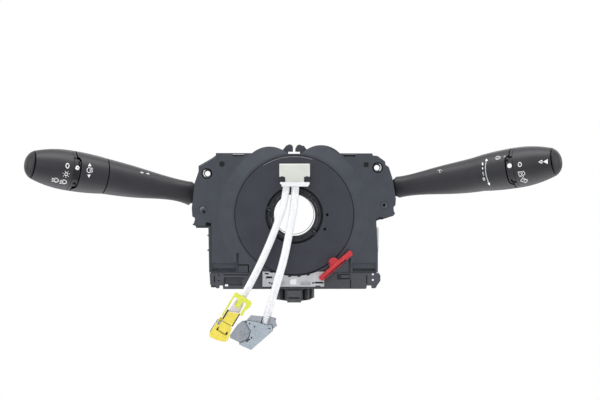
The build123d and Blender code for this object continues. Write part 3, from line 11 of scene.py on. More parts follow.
import bmesh
import bpy
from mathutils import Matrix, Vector


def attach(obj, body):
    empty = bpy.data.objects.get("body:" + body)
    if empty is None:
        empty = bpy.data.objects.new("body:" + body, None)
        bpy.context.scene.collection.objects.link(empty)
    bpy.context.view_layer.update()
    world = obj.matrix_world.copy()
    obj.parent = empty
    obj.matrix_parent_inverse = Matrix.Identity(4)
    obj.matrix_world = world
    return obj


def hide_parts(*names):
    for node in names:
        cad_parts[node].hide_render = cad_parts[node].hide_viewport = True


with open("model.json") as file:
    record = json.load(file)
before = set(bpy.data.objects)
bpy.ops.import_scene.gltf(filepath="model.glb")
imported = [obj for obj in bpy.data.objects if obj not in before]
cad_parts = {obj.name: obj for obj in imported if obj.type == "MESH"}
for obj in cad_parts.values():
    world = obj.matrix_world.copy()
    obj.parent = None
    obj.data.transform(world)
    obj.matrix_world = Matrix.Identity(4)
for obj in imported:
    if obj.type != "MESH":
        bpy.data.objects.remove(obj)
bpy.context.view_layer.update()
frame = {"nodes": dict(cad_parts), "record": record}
nodes = frame["nodes"]

MM = 0.001
TO_THE_FRONT = (math.radians(90), 0, 0)  # stands up what lies flat


# ------------------------------------------------------------------ camera, light and floor
VIEW_WIDTH = 0.510
CAMERA_PLACE = (0.00485, -1.5, 0.01275)
CAMERA_REACH = 10

WHITE = (1, 1, 1, 1)
AMBIENT_COLOUR = (0.93, 0.96, 1.0, 1)
AMBIENT_STRENGTH = 0.36

# name, place, aim, width and height, power
SOFTBOXES = (
    ("top_softbox", (0.0, -0.18, 0.80), (0, -0.02, 0), (1.1, 0.5), 9.5),
    ("front_softbox", (-0.25, -1.1, 0.35), (0, 0, 0), (0.7, 0.7), 1.6),
    ("rear_softbox", (0.3, 1.0, 0.45), (0, 0, 0), (0.8, 0.8), 3.0),
)
GLOW_PLACE = (0.19, -0.03, -0.118)
GLOW_AIM = (0.19, -0.03, 0.5)
GLOW_SIZE = (0.16, 0.22)
GLOW_POWER = 0.17
SIDE_PLACE = (0.75, -0.22, 0.12)
SIDE_AIM = (0.2, 0, 0.04)
SIDE_SIZE = (0.3, 0.6)
SIDE_POWER = 1.5

FLOOR_SIZE = 4
FLOOR_LEVEL = -0.125
FLOOR_COLOUR = (0.9, 0.9, 0.9, 1)
FLOOR_ROUGHNESS = 0.9


def add_camera():
    """A parallel view, square to the front."""
    camera = bpy.data.cameras.new("front_camera")
    camera.type = "ORTHO"
    camera.ortho_scale = VIEW_WIDTH
    camera.clip_end = CAMERA_REACH
    holder = bpy.data.objects.new("front_camera", camera)
    holder.location = CAMERA_PLACE
    holder.rotation_euler = TO_THE_FRONT
    bpy.context.collection.objects.link(holder)
    bpy.context.scene.camera = holder


def either(tree, first, second):
    """One for the rays of either kind."""
    joint = tree.nodes.new("ShaderNodeMath")
    joint.operation = "MAXIMUM"
    tree.links.new(first, joint.inputs[0])
    tree.links.new(second, joint.inputs[1])
    return joint.outputs[0]


def background(tree, colour, strength):
    """A plain sky."""
    sky = tree.nodes.new("ShaderNodeBackground")
    sky.inputs["Color"].default_value = colour
    sky.inputs["Strength"].default_value = strength
    return sky.outputs[0]


def add_tent():
    """White to the eye and in reflections, with a plain level of light on the part."""
    world = bpy.data.worlds.new("white_tent")
    bpy.context.scene.world = world
    world.use_nodes = True
    tree = world.node_tree
    tree.nodes.clear()
    path = tree.nodes.new("ShaderNodeLightPath")
    through = either(tree, path.outputs["Is Camera Ray"], path.outputs["Is Transmission Ray"])
    seen = either(tree, through, path.outputs["Is Glossy Ray"])
    mix = tree.nodes.new("ShaderNodeMixShader")
    output = tree.nodes.new("ShaderNodeOutputWorld")
    tree.links.new(seen, mix.inputs["Fac"])
    tree.links.new(background(tree, AMBIENT_COLOUR, AMBIENT_STRENGTH), mix.inputs[1])
    tree.links.new(background(tree, WHITE, 1.0), mix.inputs[2])
    tree.links.new(mix.outputs[0], output.inputs["Surface"])


def add_softbox(name, place, aim, size, power, seen=True):
    """A rectangular lamp turned towards a point."""
    lamp = bpy.data.lights.new(name, "AREA")
    lamp.shape = "RECTANGLE"
    lamp.size = size[0]
    lamp.size_y = size[1]
    lamp.energy = power
    holder = bpy.data.objects.new(name, lamp)
    holder.location = place
    towards = Vector(aim) - Vector(place)
    holder.rotation_euler = towards.to_track_quat("-Z", "Y").to_euler()
    holder.visible_camera = seen
    bpy.context.collection.objects.link(holder)


def mirrored(side, place):
    """A place at the right (1), or the same place at the left (-1)."""
    return (side * place[0], place[1], place[2])


def add_lamps():
    """Softboxes all round, and light from the white table under each stalk."""
    for softbox in SOFTBOXES:
        add_softbox(*softbox)
    for side in (-1, 1):
        glow = (mirrored(side, GLOW_PLACE), mirrored(side, GLOW_AIM), GLOW_SIZE, GLOW_POWER)
        beside = (mirrored(side, SIDE_PLACE), mirrored(side, SIDE_AIM), SIDE_SIZE, SIDE_POWER)
        add_softbox(f"table_glow_{side + 1}", *glow, seen=False)
        add_softbox(f"side_softbox_{side + 1}", *beside)


def add_floor():
    """Pale floor under the part."""
    bpy.ops.object.select_all(action="DESELECT")
    bpy.ops.mesh.primitive_plane_add(size=FLOOR_SIZE, location=(0, 0, FLOOR_LEVEL))
    floor = bpy.context.object
    floor.name = "floor"
    surface = bpy.data.materials.new("pale_floor")
    surface.use_nodes = True
    shader = surface.node_tree.nodes["Principled BSDF"]
    shader.inputs["Base Color"].default_value = FLOOR_COLOUR
    shader.inputs["Roughness"].default_value = FLOOR_ROUGHNESS
    floor.data.materials.append(surface)


# ------------------------------------------------------------------ finishes
CLOUD_SCALE = 90  # patches of about 11 mm
CLOUD_RAMP = (0.3, 0.7)
GLOSS_SPREAD = 0.05
BUMP_STRENGTH = 0.6


def add_tone(tree, coords, shader, colour, roughness, mottle):
    """Soft unevenness of tone and gloss."""
    cloud = tree.nodes.new("ShaderNodeTexNoise")
    cloud.inputs["Scale"].default_value = CLOUD_SCALE
    cloud.inputs["Detail"].default_value = 4
    tree.links.new(coords.outputs["Object"], cloud.inputs["Vector"])
    tone = tree.nodes.new("ShaderNodeValToRGB")
    for element, position, share in zip(tone.color_ramp.elements, CLOUD_RAMP, (1 - mottle, 1 + mottle)):
        element.position = position
        element.color = (*(part * share for part in colour), 1)
    tree.links.new(cloud.outputs["Fac"], tone.inputs["Fac"])
    tree.links.new(tone.outputs["Color"], shader.inputs["Base Color"])

    gloss = tree.nodes.new("ShaderNodeMapRange")
    gloss.inputs["To Min"].default_value = roughness - GLOSS_SPREAD
    gloss.inputs["To Max"].default_value = roughness + GLOSS_SPREAD
    tree.links.new(cloud.outputs["Fac"], gloss.inputs["Value"])
    tree.links.new(gloss.outputs["Result"], shader.inputs["Roughness"])


def add_skin(tree, coords, shader, grain_size, grain_height, corner):
    """Eroded grain over softly rounded corners."""
    grain = tree.nodes.new("ShaderNodeTexNoise")
    grain.inputs["Scale"].default_value = 1 / (grain_size * MM)
    grain.inputs["Detail"].default_value = 2
    tree.links.new(coords.outputs["Object"], grain.inputs["Vector"])
    rounded = tree.nodes.new("ShaderNodeBevel")
    rounded.samples = 4
    rounded.inputs["Radius"].default_value = corner * MM
    bump = tree.nodes.new("ShaderNodeBump")
    bump.inputs["Strength"].default_value = BUMP_STRENGTH
    bump.inputs["Distance"].default_value = grain_height * MM
    tree.links.new(grain.outputs["Fac"], bump.inputs["Height"])
    tree.links.new(rounded.outputs["Normal"], bump.inputs["Normal"])
    tree.links.new(bump.outputs["Normal"], shader.inputs["Normal"])


def moulded(name, colour, roughness, grain, mottle=0.12, shine=0.5, corner=0.25):
    """Moulded plastic. The grain is its pitch and its height."""
    finish = bpy.data.materials.new(name)
    finish.use_nodes = True
    tree = finish.node_tree
    shader = tree.nodes["Principled BSDF"]
    shader.inputs["Specular IOR Level"].default_value = shine
    coords = tree.nodes.new("ShaderNodeTexCoord")
    add_tone(tree, coords, shader, colour, roughness, mottle)
    add_skin(tree, coords, shader, *grain, corner)
    return finish


def metal(name, colour, roughness, grain):
    """Plated or cast metal with a fine uneven skin."""
    finish = moulded(name, colour, roughness, grain, mottle=0.06)
    finish.node_tree.nodes["Principled BSDF"].inputs["Metallic"].default_value = 1.0
    return finish


def translucent(finish, amount, radius):
    """Milky plastic: light spreads a little way inside it."""
    shader = finish.node_tree.nodes["Principled BSDF"]
    shader.inputs["Subsurface Weight"].default_value = amount
    shader.inputs["Subsurface Radius"].default_value = (1, 1, 1)
    shader.inputs["Subsurface Scale"].default_value = radius * MM
    return finish


def black_finishes():
    """Housing, hub, stalks, tray and connector, each with its own grain."""
    return {
        "housing_black": moulded("grained_housing", (0.034, 0.039, 0.050), 0.55, (0.45, 0.03), shine=0.4),
        # the hub's own black, also used for painted shade in slots, grooves and holes
        "hub_black": moulded("hub_sleeve_and_shade_black", (0.013, 0.014, 0.018), 0.5, (0.35, 0.02), shine=0.3),
        "stalk_black": moulded("soft_touch_stalk", (0.020, 0.020, 0.024), 0.44, (0.3, 0.02), 0.08, 0.3),
        "disc_black": moulded("grained_disc", (0.028, 0.030, 0.041), 0.55, (0.45, 0.03), shine=0.35),
        "tray_black": moulded("smooth_tray", (0.046, 0.049, 0.060), 0.5, (0.45, 0.02), shine=0.4),
        "connector_black": moulded("smooth_connector", (0.056, 0.059, 0.066), 0.42, (0.4, 0.01)),
        # painted shade: darkens the faces of the index tabs
        "tab_shade_black": moulded("tab_shade_black", (0.011, 0.011, 0.014), 0.5, (0.3, 0.01), 0.05, 0.2, 0.1),
        # painted shade: near black laid over gaps, slots, grooves and sockets
        "shade_black": moulded("painted_shade_black", (0.004, 0.004, 0.005), 0.8, (0.3, 0.005), 0.03, 0.1),
    }


def pale_finishes():
    """Greys and whites: bracket, guide, sleeves, connectors, the grey plug and the prints."""
    guide = moulded("milky_guide", (0.62, 0.63, 0.58), 0.45, (0.4, 0.01), 0.04)
    sleeve = moulded("milky_sleeve", (0.80, 0.805, 0.82), 0.4, (0.5, 0.005), 0.01)
    return {
        "core_grey": moulded("smooth_core", (0.05, 0.05, 0.055), 0.45, (0.3, 0.01), 0.06),
        # painted highlight: pale lines on lit edges, rims and screws
        "highlight_grey": moulded("painted_highlight_grey", (0.16, 0.16, 0.175), 0.5, (0.4, 0.006), 0.06),
        # the grey plug cap's own colour, also used for a painted highlight on a connector rib
        "cap_grey_and_highlight": moulded("grey_plug_cap_and_highlight", (0.30, 0.32, 0.36), 0.5, (0.4, 0.006), 0.06, corner=0.6),
        "plug_grey": moulded("grey_plug", (0.34, 0.39, 0.44), 0.5, (0.4, 0.006), 0.06, corner=0.4),
        "bracket_grey": moulded("bare_bracket", (0.47, 0.48, 0.50), 0.5, (0.4, 0.01), 0.06),
        "guide_cream": translucent(guide, 0.15, 1.5),
        "pad_white": moulded("pale_pad", (0.74, 0.745, 0.76), 0.5, (0.4, 0.006), 0.03),
        "flange_white": moulded("white_flange", (0.78, 0.78, 0.80), 0.5, (0.4, 0.01), 0.03),
        "sleeve_white": translucent(sleeve, 0.35, 1.0),
        "side_white": moulded("white_side_connector", (0.84, 0.85, 0.85), 0.5, (0.4, 0.006), 0.03),
        "boot_white": moulded("lilac_boot", (0.84, 0.79, 1.0), 0.5, (0.4, 0.01), 0.03),
        # white for the printed symbols, also used for the painted glints at the shroud holes
        "print_and_glint_white": moulded("white_print_and_glint", (0.85, 0.85, 0.85), 0.6, (0.3, 0.005), 0.03),
    }


def bright_finishes():
    """The yellow plug and its lock, the blue stop, the red lock, the board and the metals."""
    lemon = moulded("lemon_lock", (0.66, 0.69, 0.07), 0.35, (0.4, 0.005), 0.05, corner=0.4)
    return {
        "plug_yellow": moulded("yellow_plug", (0.76, 0.63, 0.08), 0.4, (0.4, 0.005), 0.05, corner=0.5),
        "lemon_yellow": translucent(lemon, 0.1, 1.0),
        "stop_blue": moulded("blue_grey_stop", (0.20, 0.27, 0.34), 0.5, (0.4, 0.006), 0.06),
        "lock_red": moulded("red_lock", (0.50, 0.030, 0.045), 0.3, (0.4, 0.005), 0.08, 0.3, 1.0),
        "ridge_red": moulded("lit_ridge", (0.78, 0.10, 0.07), 0.3, (0.4, 0.005), 0.05, 0.4),
        "shade_red": moulded("shaded_side", (0.24, 0.012, 0.025), 0.5, (0.4, 0.005), 0.05, 0.2),
        "board_green": moulded("board_lacquer", (0.03, 0.16, 0.07), 0.35, (1.0, 0.01), 0.1),
        "ribbon_film": moulded("ribbon_film", (0.5, 0.3, 0.1), 0.3, (2.0, 0.005), 0.05),
        "screw_black": metal("black_oxide", (0.075, 0.08, 0.10), 0.4, (0.3, 0.01)),
        "zinc_steel": metal("zinc_plate", (0.55, 0.55, 0.56), 0.35, (0.3, 0.01)),
        "collar_aluminium": metal("die_casting", (0.5, 0.5, 0.52), 0.5, (0.5, 0.03)),
        "contact_brass": metal("tinned_brass", (0.72, 0.55, 0.25), 0.3, (0.3, 0.005)),
    }


finishes = {**black_finishes(), **pale_finishes(), **bright_finishes()}

# nodes with their own shade of their slot's finish
NODE_FINISHES = {
    "rotor_disc": "disc_black",
    "connector_tray": "tray_black",
    "main_connector": "connector_black",
    "airbag_plug_lock": "lemon_yellow",
    "side_connector": "side_white",
    "horn_plug_cap": "cap_grey_and_highlight",
    "horn_plug_latch": "cap_grey_and_highlight",
}


def dress_nodes():
    """Each node takes its slot's finish, or its own shade of it."""
    for part in frame["record"]["subparts"]:
        finish = NODE_FINISHES.get(part["node"], part["material_slot"])
        nodes[part["node"]].material_slots[0].material = finishes[finish]


# ------------------------------------------------------------------ sleeved leads
AIRBAG_DIAMETER = 6.3
AIRBAG_ROUTE = [
    (-6.4, -43.0, 27.6),
    (-7.4, -43.6, 13.9),
    (-13.6, -47.8, -5.5),
    (-22.0, -51.8, -26.8),
    (-29.9, -54.0, -44.0),
    (-39.6, -54.6, -62.9),
    (-50.1, -54.6, -80.6),
]
HORN_DIAMETER = 6.8
HORN_ROUTE = [
    (1.0, -43.0, 27.6),
    (0.6, -43.6, 12.0),
    (-3.6, -48.3, -11.5),
    (-8.2, -52.3, -35.5),
    (-14.0, -55.2, -55.5),
    (-19.3, -56.0, -73.5),
    (-25.1, -56.0, -92.6),
]
ROUTE_STEPS = 48
RIB_PITCH = 2.0
RIB_PROFILE = ((0.0, 1.0), (0.35, 1.0), (0.55, 0.93), (0.8, 0.93))  # share of the pitch, share of the width
SIDES = 28


def centreline(name, route):
    """Points of the smooth line that the route's points control."""
    curve = bpy.data.curves.new(name, "CURVE")
    curve.dimensions = "3D"
    curve.resolution_u = ROUTE_STEPS
    spline = curve.splines.new("NURBS")
    spline.points.add(len(route) - 1)
    for point, place in zip(spline.points, route):
        point.co = (*(value * MM for value in place), 1)
    spline.order_u = 3
    spline.use_endpoint_u = True
    holder = bpy.data.objects.new(name, curve)
    line = bpy.data.meshes.new_from_object(holder)
    points = [vertex.co.copy() for vertex in line.vertices]
    bpy.data.objects.remove(holder)
    bpy.data.curves.remove(curve)
    bpy.data.meshes.remove(line)
    return points


def along(points, distance):
    """Place and direction at a distance along the line."""
    for start, end in zip(points, points[1:]):
        run = (end - start).length
        if distance <= run or end is points[-1]:
            return start.lerp(end, min(distance / run, 1)), (end - start).normalized()
        distance -= run


def rib_stations(length):
    """Distances along the sleeve, each with its share of the full width."""
    stations = []
    rib = 0
    while (rib + 1) * RIB_PITCH * MM < length:
        for share, width in RIB_PROFILE:
            stations.append(((rib + share) * RIB_PITCH * MM, width))
        rib += 1
    stations.append((length, RIB_PROFILE[0][1]))
    return stations


def corrugated_mesh(name, points, length, diameter):
    """Closed tube of rings, wide on a rib and narrow between ribs."""
    shell = bmesh.new()
    across = Vector((0, -1, 0))
    rings = []
    for distance, width in rib_stations(length):
        middle, ahead = along(points, distance)
        across = (across - ahead * across.dot(ahead)).normalized()
        beside = ahead.cross(across)
        ring = []
        for side in range(SIDES):
            angle = math.tau * side / SIDES
            offset = across * math.cos(angle) + beside * math.sin(angle)
            ring.append(shell.verts.new(middle + offset * width * diameter / 2 * MM))
        rings.append(ring)
    for ring, following in zip(rings, rings[1:]):
        for side in range(SIDES):
            after = (side + 1) % SIDES
            shell.faces.new((ring[side], ring[after], following[after], following[side]))
    shell.faces.new(reversed(rings[0]))
    shell.faces.new(rings[-1])
    bmesh.ops.recalc_face_normals(shell, faces=shell.faces)
    mesh = bpy.data.meshes.new(name)
    shell.to_mesh(mesh)
    shell.free()
    return mesh


def corrugated_sleeve(name, route, diameter, node):
    """A lead's sleeve in place of its plain node."""
    points = centreline(f"{name}_line", route)
    length = sum((end - start).length for start, end in zip(points, points[1:]))
    mesh = corrugated_mesh(name, points, length, diameter)
    sleeve = bpy.data.objects.new(name, mesh)
    bpy.context.collection.objects.link(sleeve)
    mesh.materials.append(finishes["sleeve_white"])
    mesh.shade_smooth()
    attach(sleeve, "rotor")
    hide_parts(node)


# ------------------------------------------------------------------ flat marks laid on the part
PRINT_FRONT = -150.0  # flat marks stand here, in front of everything, before they are laid on the part
PRINT_LIFT = 0.03
PRINT_THICK = 0.05
EDGE_LIFT = 0.09  # over another print
DOT_LIFT = 0.15
LINE_STEP = 0.5
SMOOTH_STEPS = 8
PATCH_CUTS = 2
WELD = 0.002
TRIANGLE = 3
SQUARE = 4

# the node that a mark lies on, and the body that it moves with
LIGHT_BARREL = ("light_barrel", "light_barrel")
FOG_RING = ("fog_ring", "fog_ring")
LEFT_INDEX = ("light_index_ring", "left_stalk")
LEFT_LEVER = ("left_lever", "left_stalk")
WIPER_BARREL = ("rear_wiper_barrel", "rear_wiper_barrel")
RIGHT_INDEX = ("wiper_index_ring", "right_stalk")
RIGHT_LEVER = ("right_lever", "right_stalk")
AIRBAG_PLUG = ("airbag_plug_body", "rotor")
BRACKET = ("latch_bracket", "root")
CONNECTOR = ("main_connector", "root")
COVER = ("front_cover", "root")
SCREWS = ("cover_screws", "root")
LOCK = ("transport_lock", "transport_lock")
HUB = ("hub_sleeve", "rotor")
DISC = ("rotor_disc", "rotor")


def polar(radius, angle, centre=(0, 0)):
    """A point at an angle in degrees from the right."""
    turn = math.radians(angle)
    return (centre[0] + radius * math.cos(turn), centre[1] + radius * math.sin(turn))


def arc(radius, first, last, centre=(0, 0)):
    """Points 10 degrees apart on an arc."""
    return [polar(radius, angle, centre) for angle in range(first, last + 1, 10)]


def oval(width, height, corners=12):
    """Corners of a closed oval."""
    return [
        (width / 2 * math.cos(math.tau * k / corners), height / 2 * math.sin(math.tau * k / corners))
        for k in range(corners)
    ]


def dense(points, closed):
    """The same corners with points between, so that a line can follow a curved surface."""
    corners = list(points) + (list(points[:1]) if closed else [])
    result = []
    for (x1, z1), (x2, z2) in zip(corners, corners[1:]):
        count = max(1, math.ceil(math.hypot(x2 - x1, z2 - z1) / LINE_STEP))
        result += [(x1 + (x2 - x1) * k / count, z1 + (z2 - z1) * k / count) for k in range(count)]
    return result if closed else result + [corners[-1]]


def drawn_line(points, width, closed=False, smooth=False):
    """A flat ribbon along points."""
    if not smooth:
        points = dense(points, closed)
    curve = bpy.data.curves.new("line", "CURVE")
    curve.dimensions = "3D"
    curve.twist_mode = "Z_UP"
    curve.extrude = width / 2 * MM
    curve.resolution_u = SMOOTH_STEPS
    spline = curve.splines.new("NURBS" if smooth else "POLY")
    spline.points.add(len(points) - 1)
    for point, (across, up) in zip(spline.points, points):
        point.co = (across * MM, up * MM, 0, 1)
        point.tilt = math.pi / 2
    if smooth:
        spline.order_u = 3
        spline.use_endpoint_u = not closed
    spline.use_cyclic_u = closed
    line = bpy.data.objects.new("line", curve)
    bpy.context.collection.objects.link(line)
    bpy.ops.object.select_all(action="DESELECT")
    line.select_set(True)
    bpy.context.view_layer.objects.active = line
    bpy.ops.object.convert(target="MESH")
    return bpy.context.object


def drawn_ring(width, height, line):
    """An oval outline."""
    return drawn_line(oval(width, height), line, closed=True, smooth=True)


def drawn_patch(size, sides, turn=0, centre=(0, 0)):
    """A filled oval, triangle or box."""
    bpy.ops.object.select_all(action="DESELECT")
    bpy.ops.mesh.primitive_circle_add(
        vertices=sides, radius=0.5, fill_type="TRIFAN", location=(centre[0] * MM, centre[1] * MM, 0)
    )
    patch = bpy.context.object
    patch.rotation_euler = (0, 0, math.radians(turn))
    patch.scale = (size[0] * MM, size[1] * MM, 1)
    bpy.ops.object.transform_apply(location=True, rotation=True, scale=True)
    bpy.ops.object.mode_set(mode="EDIT")
    bpy.ops.mesh.select_all(action="SELECT")
    bpy.ops.mesh.subdivide(number_cuts=PATCH_CUTS)
    bpy.ops.object.mode_set(mode="OBJECT")
    return patch


def joined(name, pieces):
    """One mark from its flat pieces."""
    bpy.ops.object.select_all(action="DESELECT")
    for piece in pieces:
        piece.select_set(True)
    bpy.context.view_layer.objects.active = pieces[0]
    if len(pieces) > 1:
        bpy.ops.object.join()
    mark = bpy.context.object
    mark.name = name
    return mark


def stand_up(mark, place, turn):
    """Turns a flat mark in its own plane and stands it in front of its place."""
    mark.rotation_euler = (0, 0, math.radians(turn))
    bpy.ops.object.transform_apply(location=False, rotation=True, scale=False)
    mark.rotation_euler = TO_THE_FRONT
    mark.location = (place[0] * MM, PRINT_FRONT * MM, place[1] * MM)
    bpy.ops.object.transform_apply(location=True, rotation=True, scale=True)


def lay_back(mark, node, lift):
    """Moves each point of a mark straight back to a node's surface."""
    wrap = mark.modifiers.new("laid_on", "SHRINKWRAP")
    wrap.wrap_method = "PROJECT"
    wrap.use_project_x = False
    wrap.use_project_y = True
    wrap.use_project_z = False
    wrap.use_positive_direction = True
    wrap.use_negative_direction = False
    wrap.target = nodes[node]
    wrap.wrap_mode = "ABOVE_SURFACE"
    wrap.offset = lift * MM
    bpy.ops.object.modifier_apply(modifier=wrap.name)


def trim_missed(mark):
    """Takes away what the node isn't behind."""
    mesh = bmesh.new()
    mesh.from_mesh(mark.data)
    missed = [vertex for vertex in mesh.verts if vertex.co.y < (PRINT_FRONT + 1) * MM]
    bmesh.ops.delete(mesh, geom=missed, context="VERTS")
    mesh.to_mesh(mark.data)
    mesh.free()


def thicken(mark):
    """Gives a mark the thickness of a film."""
    film = mark.modifiers.new("film", "SOLIDIFY")
    film.thickness = PRINT_THICK * MM
    film.offset = 0
    bpy.ops.object.modifier_apply(modifier=film.name)
    bpy.ops.object.mode_set(mode="EDIT")
    bpy.ops.mesh.select_all(action="SELECT")
    bpy.ops.mesh.remove_doubles(threshold=WELD * MM)
    bpy.ops.mesh.normals_make_consistent(inside=False)
    bpy.ops.object.mode_set(mode="OBJECT")


def lay_print(name, pieces, surface, finish, place=(0, 0), turn=0, lift=PRINT_LIFT):
    """Joins flat pieces into one mark and lays it on a surface."""
    node, body = surface
    mark = joined(name, pieces)
    stand_up(mark, place, turn)
    lay_back(mark, node, lift)
    trim_missed(mark)
    thicken(mark)
    mark.data.materials.clear()
    mark.data.materials.append(finishes[finish])
    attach(mark, body)


# ------------------------------------------------------------------ stalk prints
# painted shade on the index tabs, line by line: name, width, points
LEFT_TAB_FACE_SHADE = ("tab_face_shade_left", 4.4, [(-185.0, 45.6), (-184.8, 41.0), (-185.2, 35.6), (-186.2, 29.6)])
LEFT_TAB_EDGE_SHADE = (
    "tab_edge_shade_left",
    1.0,
    [(-183.2, 46.6), (-182.5, 42.0), (-182.5, 38.0), (-183.3, 33.0), (-184.9, 27.6)],
)
LEFT_TAB_END_SHADES = (
    ("tab_shade_top", 1.5, [(-188.0, 48.0), (-185.4, 48.3), (-183.4, 47.3)]),
    ("tab_shade_bottom", 1.7, [(-188.3, 27.0), (-186.0, 26.4), (-184.2, 26.9)]),
)
RIGHT_TAB_FACE_SHADE = ("tab_face_shade_right", 4.6, [(183.9, 47.4), (183.9, 42.0), (184.8, 36.6), (187.2, 30.4)])
RIGHT_TAB_EDGE_SHADE = (
    "tab_edge_shade_right",
    1.9,
    [(181.0, 47.4), (180.1, 43.0), (180.2, 38.4), (181.5, 32.9), (183.6, 28.6), (186.8, 26.4)],
)
RIGHT_TAB_END_SHADES = (
    ("wiper_tab_shade_top", 1.4, [(182.0, 48.4), (184.0, 49.4), (187.0, 49.6)]),
    ("wiper_tab_shade_bottom", 1.6, [(184.0, 30.0), (186.2, 27.8), (188.6, 28.2)]),
)

LAMP_TURN = -8
LAMP_RAYS = (15, 62, 118, 172, 222, 268, 322)
# name, place, drop of the rays
BEAMS = (("main_beam", (-202.8, 29.7), 0.0), ("dipped_beam", (-195.9, 28.3), -0.7))
BEAM_ROWS = (-1.3, -0.1, 1.1)
FOG_ROWS = (-1.4, 0, 1.4)
FOG_WAVE = [(1.8, 2.2), (1.4, 0.8), (2.1, -0.6), (1.6, -2.2)]
ARROW_TURN = -12

WIPER_SWEEP = [(163.4, 46.2), (162.6, 43.6), (162.3, 40.3), (162.7, 35.5), (164.0, 30.6), (165.2, 27.4)]


def print_tab_shade(surface, face, edge, ends):
    """Painted shade over the face of an index tab, along its edge and at its ends."""
    name, width, points = face
    lay_print(name, [drawn_line(points, width, smooth=True)], surface, "tab_shade_black")
    name, width, points = edge
    lay_print(name, [drawn_line(points, width, smooth=True)], surface, "shade_black", lift=EDGE_LIFT)
    for name, width, points in ends:
        lay_print(name, [drawn_line(points, width)], surface, "shade_black", lift=EDGE_LIFT)


def lamp_outline(height):
    """Lamp shape, flat at the left and round at the right."""
    half = height / 2
    upper = [(-0.9, half), (0.6, half), (2.0, half * 0.6)]
    lower = [(across, -up) for across, up in reversed(upper)]
    return [*upper, (2.3, 0), *lower]


def print_light_symbols():
    """Off, side lamps, main beam and dipped beam."""
    lay_print("lamps_off", [drawn_ring(2.7, 3.9, 0.85)], LIGHT_BARREL, "print_and_glint_white", (-192.8, 41.8), 4)
    lamp = [drawn_ring(2.6, 2.6, 0.7)]
    for angle in LAMP_RAYS:
        lamp.append(drawn_line([polar(2.2, angle), polar(3.1, angle)], 0.5))
    lay_print("side_lamps", lamp, LIGHT_BARREL, "print_and_glint_white", (-193.9, 34.7), LAMP_TURN)
    for name, place, drop in BEAMS:
        lines = [drawn_line(lamp_outline(3.1), 0.7, closed=True)]
        for rise in BEAM_ROWS:
            lines.append(drawn_line([(-1.5, rise), (-3.5, rise + drop)], 0.6))
        lay_print(name, lines, LIGHT_BARREL, "print_and_glint_white", place, LAMP_TURN)


def print_fog_symbols():
    """Up and down marks of the fog ring, and its lamp."""
    lay_print("fog_up", [drawn_patch((3.5, 3.5), TRIANGLE)], FOG_RING, "print_and_glint_white", (-173.9, 42.3))
    lay_print("fog_down", [drawn_patch((3.5, 3.5), TRIANGLE, 180)], FOG_RING, "print_and_glint_white", (-174.6, 33.5))
    outline = [(-across * 0.85 - 0.4, up) for across, up in lamp_outline(4.2)]
    lines = [drawn_line(outline, 0.6, closed=True)]
    for rise in FOG_ROWS:
        lines.append(drawn_line([(0.8, rise), (2.8, rise)], 0.45))
    lines.append(drawn_line(FOG_WAVE, 0.6, smooth=True))
    lay_print("fog_lamp", lines, FOG_RING, "print_and_glint_white", (-173.9, 38.1))


def print_turn_arrows():
    """Two small arrows, one each way."""
    arrow = [drawn_line([(-1.2, 0), (0.9, 0)], 0.7), drawn_patch((2.0, 2.4), TRIANGLE, 90, (-1.0, 0))]
    lay_print("turn_arrow_left", arrow, LEFT_LEVER, "print_and_glint_white", (-128.9, 36.0), ARROW_TURN)
    arrow = [drawn_line([(-0.9, 0), (1.2, 0)], 0.7), drawn_patch((2.0, 2.4), TRIANGLE, -90, (1.0, 0))]
    lay_print("turn_arrow_right", arrow, LEFT_LEVER, "print_and_glint_white", (-125.0, 35.2), ARROW_TURN)


def print_rear_wiper_symbols():
    """Off, wipe and wash of the rear window, and the two marks at the button."""
    lay_print("rear_wiper_off", [drawn_ring(2.7, 3.5, 0.8)], WIPER_BARREL, "print_and_glint_white", (191.7, 42.9))
    window = [
        drawn_line([(-3.1, 1.6), (2.2, 2.1), (3.0, -0.2), (-1.4, -2.3)], 0.55, closed=True),
        drawn_line([(-1.9, 0.6), (1.3, 0.9)], 0.45),
        drawn_line([(1.0, 0.8), (-0.6, -1.4)], 0.5),
        drawn_line([(1.9, -1.5), (0.6, -4.2)], 0.5),
    ]
    lay_print("rear_window", window, WIPER_BARREL, "print_and_glint_white", (193.1, 34.9))
    washer = [
        drawn_line([(-3.2, -0.4), (-1.2, 2.1), (3.0, -0.1), (1.0, -2.1)], 0.55, closed=True),
        drawn_line([(-1.2, 0.3), (1.2, 0.6)], 0.5),
        drawn_line([(0.5, 1.1), (-0.2, -1.0)], 0.5),
    ]
    lay_print("rear_washer", washer, WIPER_BARREL, "print_and_glint_white", (195.4, 29.6))
    outline = drawn_line([(-1.7, 0), (1.0, 1.3), (1.0, -1.3)], 0.75, closed=True)
    lay_print("press_mark_a", [outline], WIPER_BARREL, "print_and_glint_white", (209.6, 45.1), 3)
    filled = drawn_patch((4.8, 5.4), TRIANGLE, 90)
    lay_print("press_mark_b", [filled], WIPER_BARREL, "print_and_glint_white", (214.1, 45.4), 3)


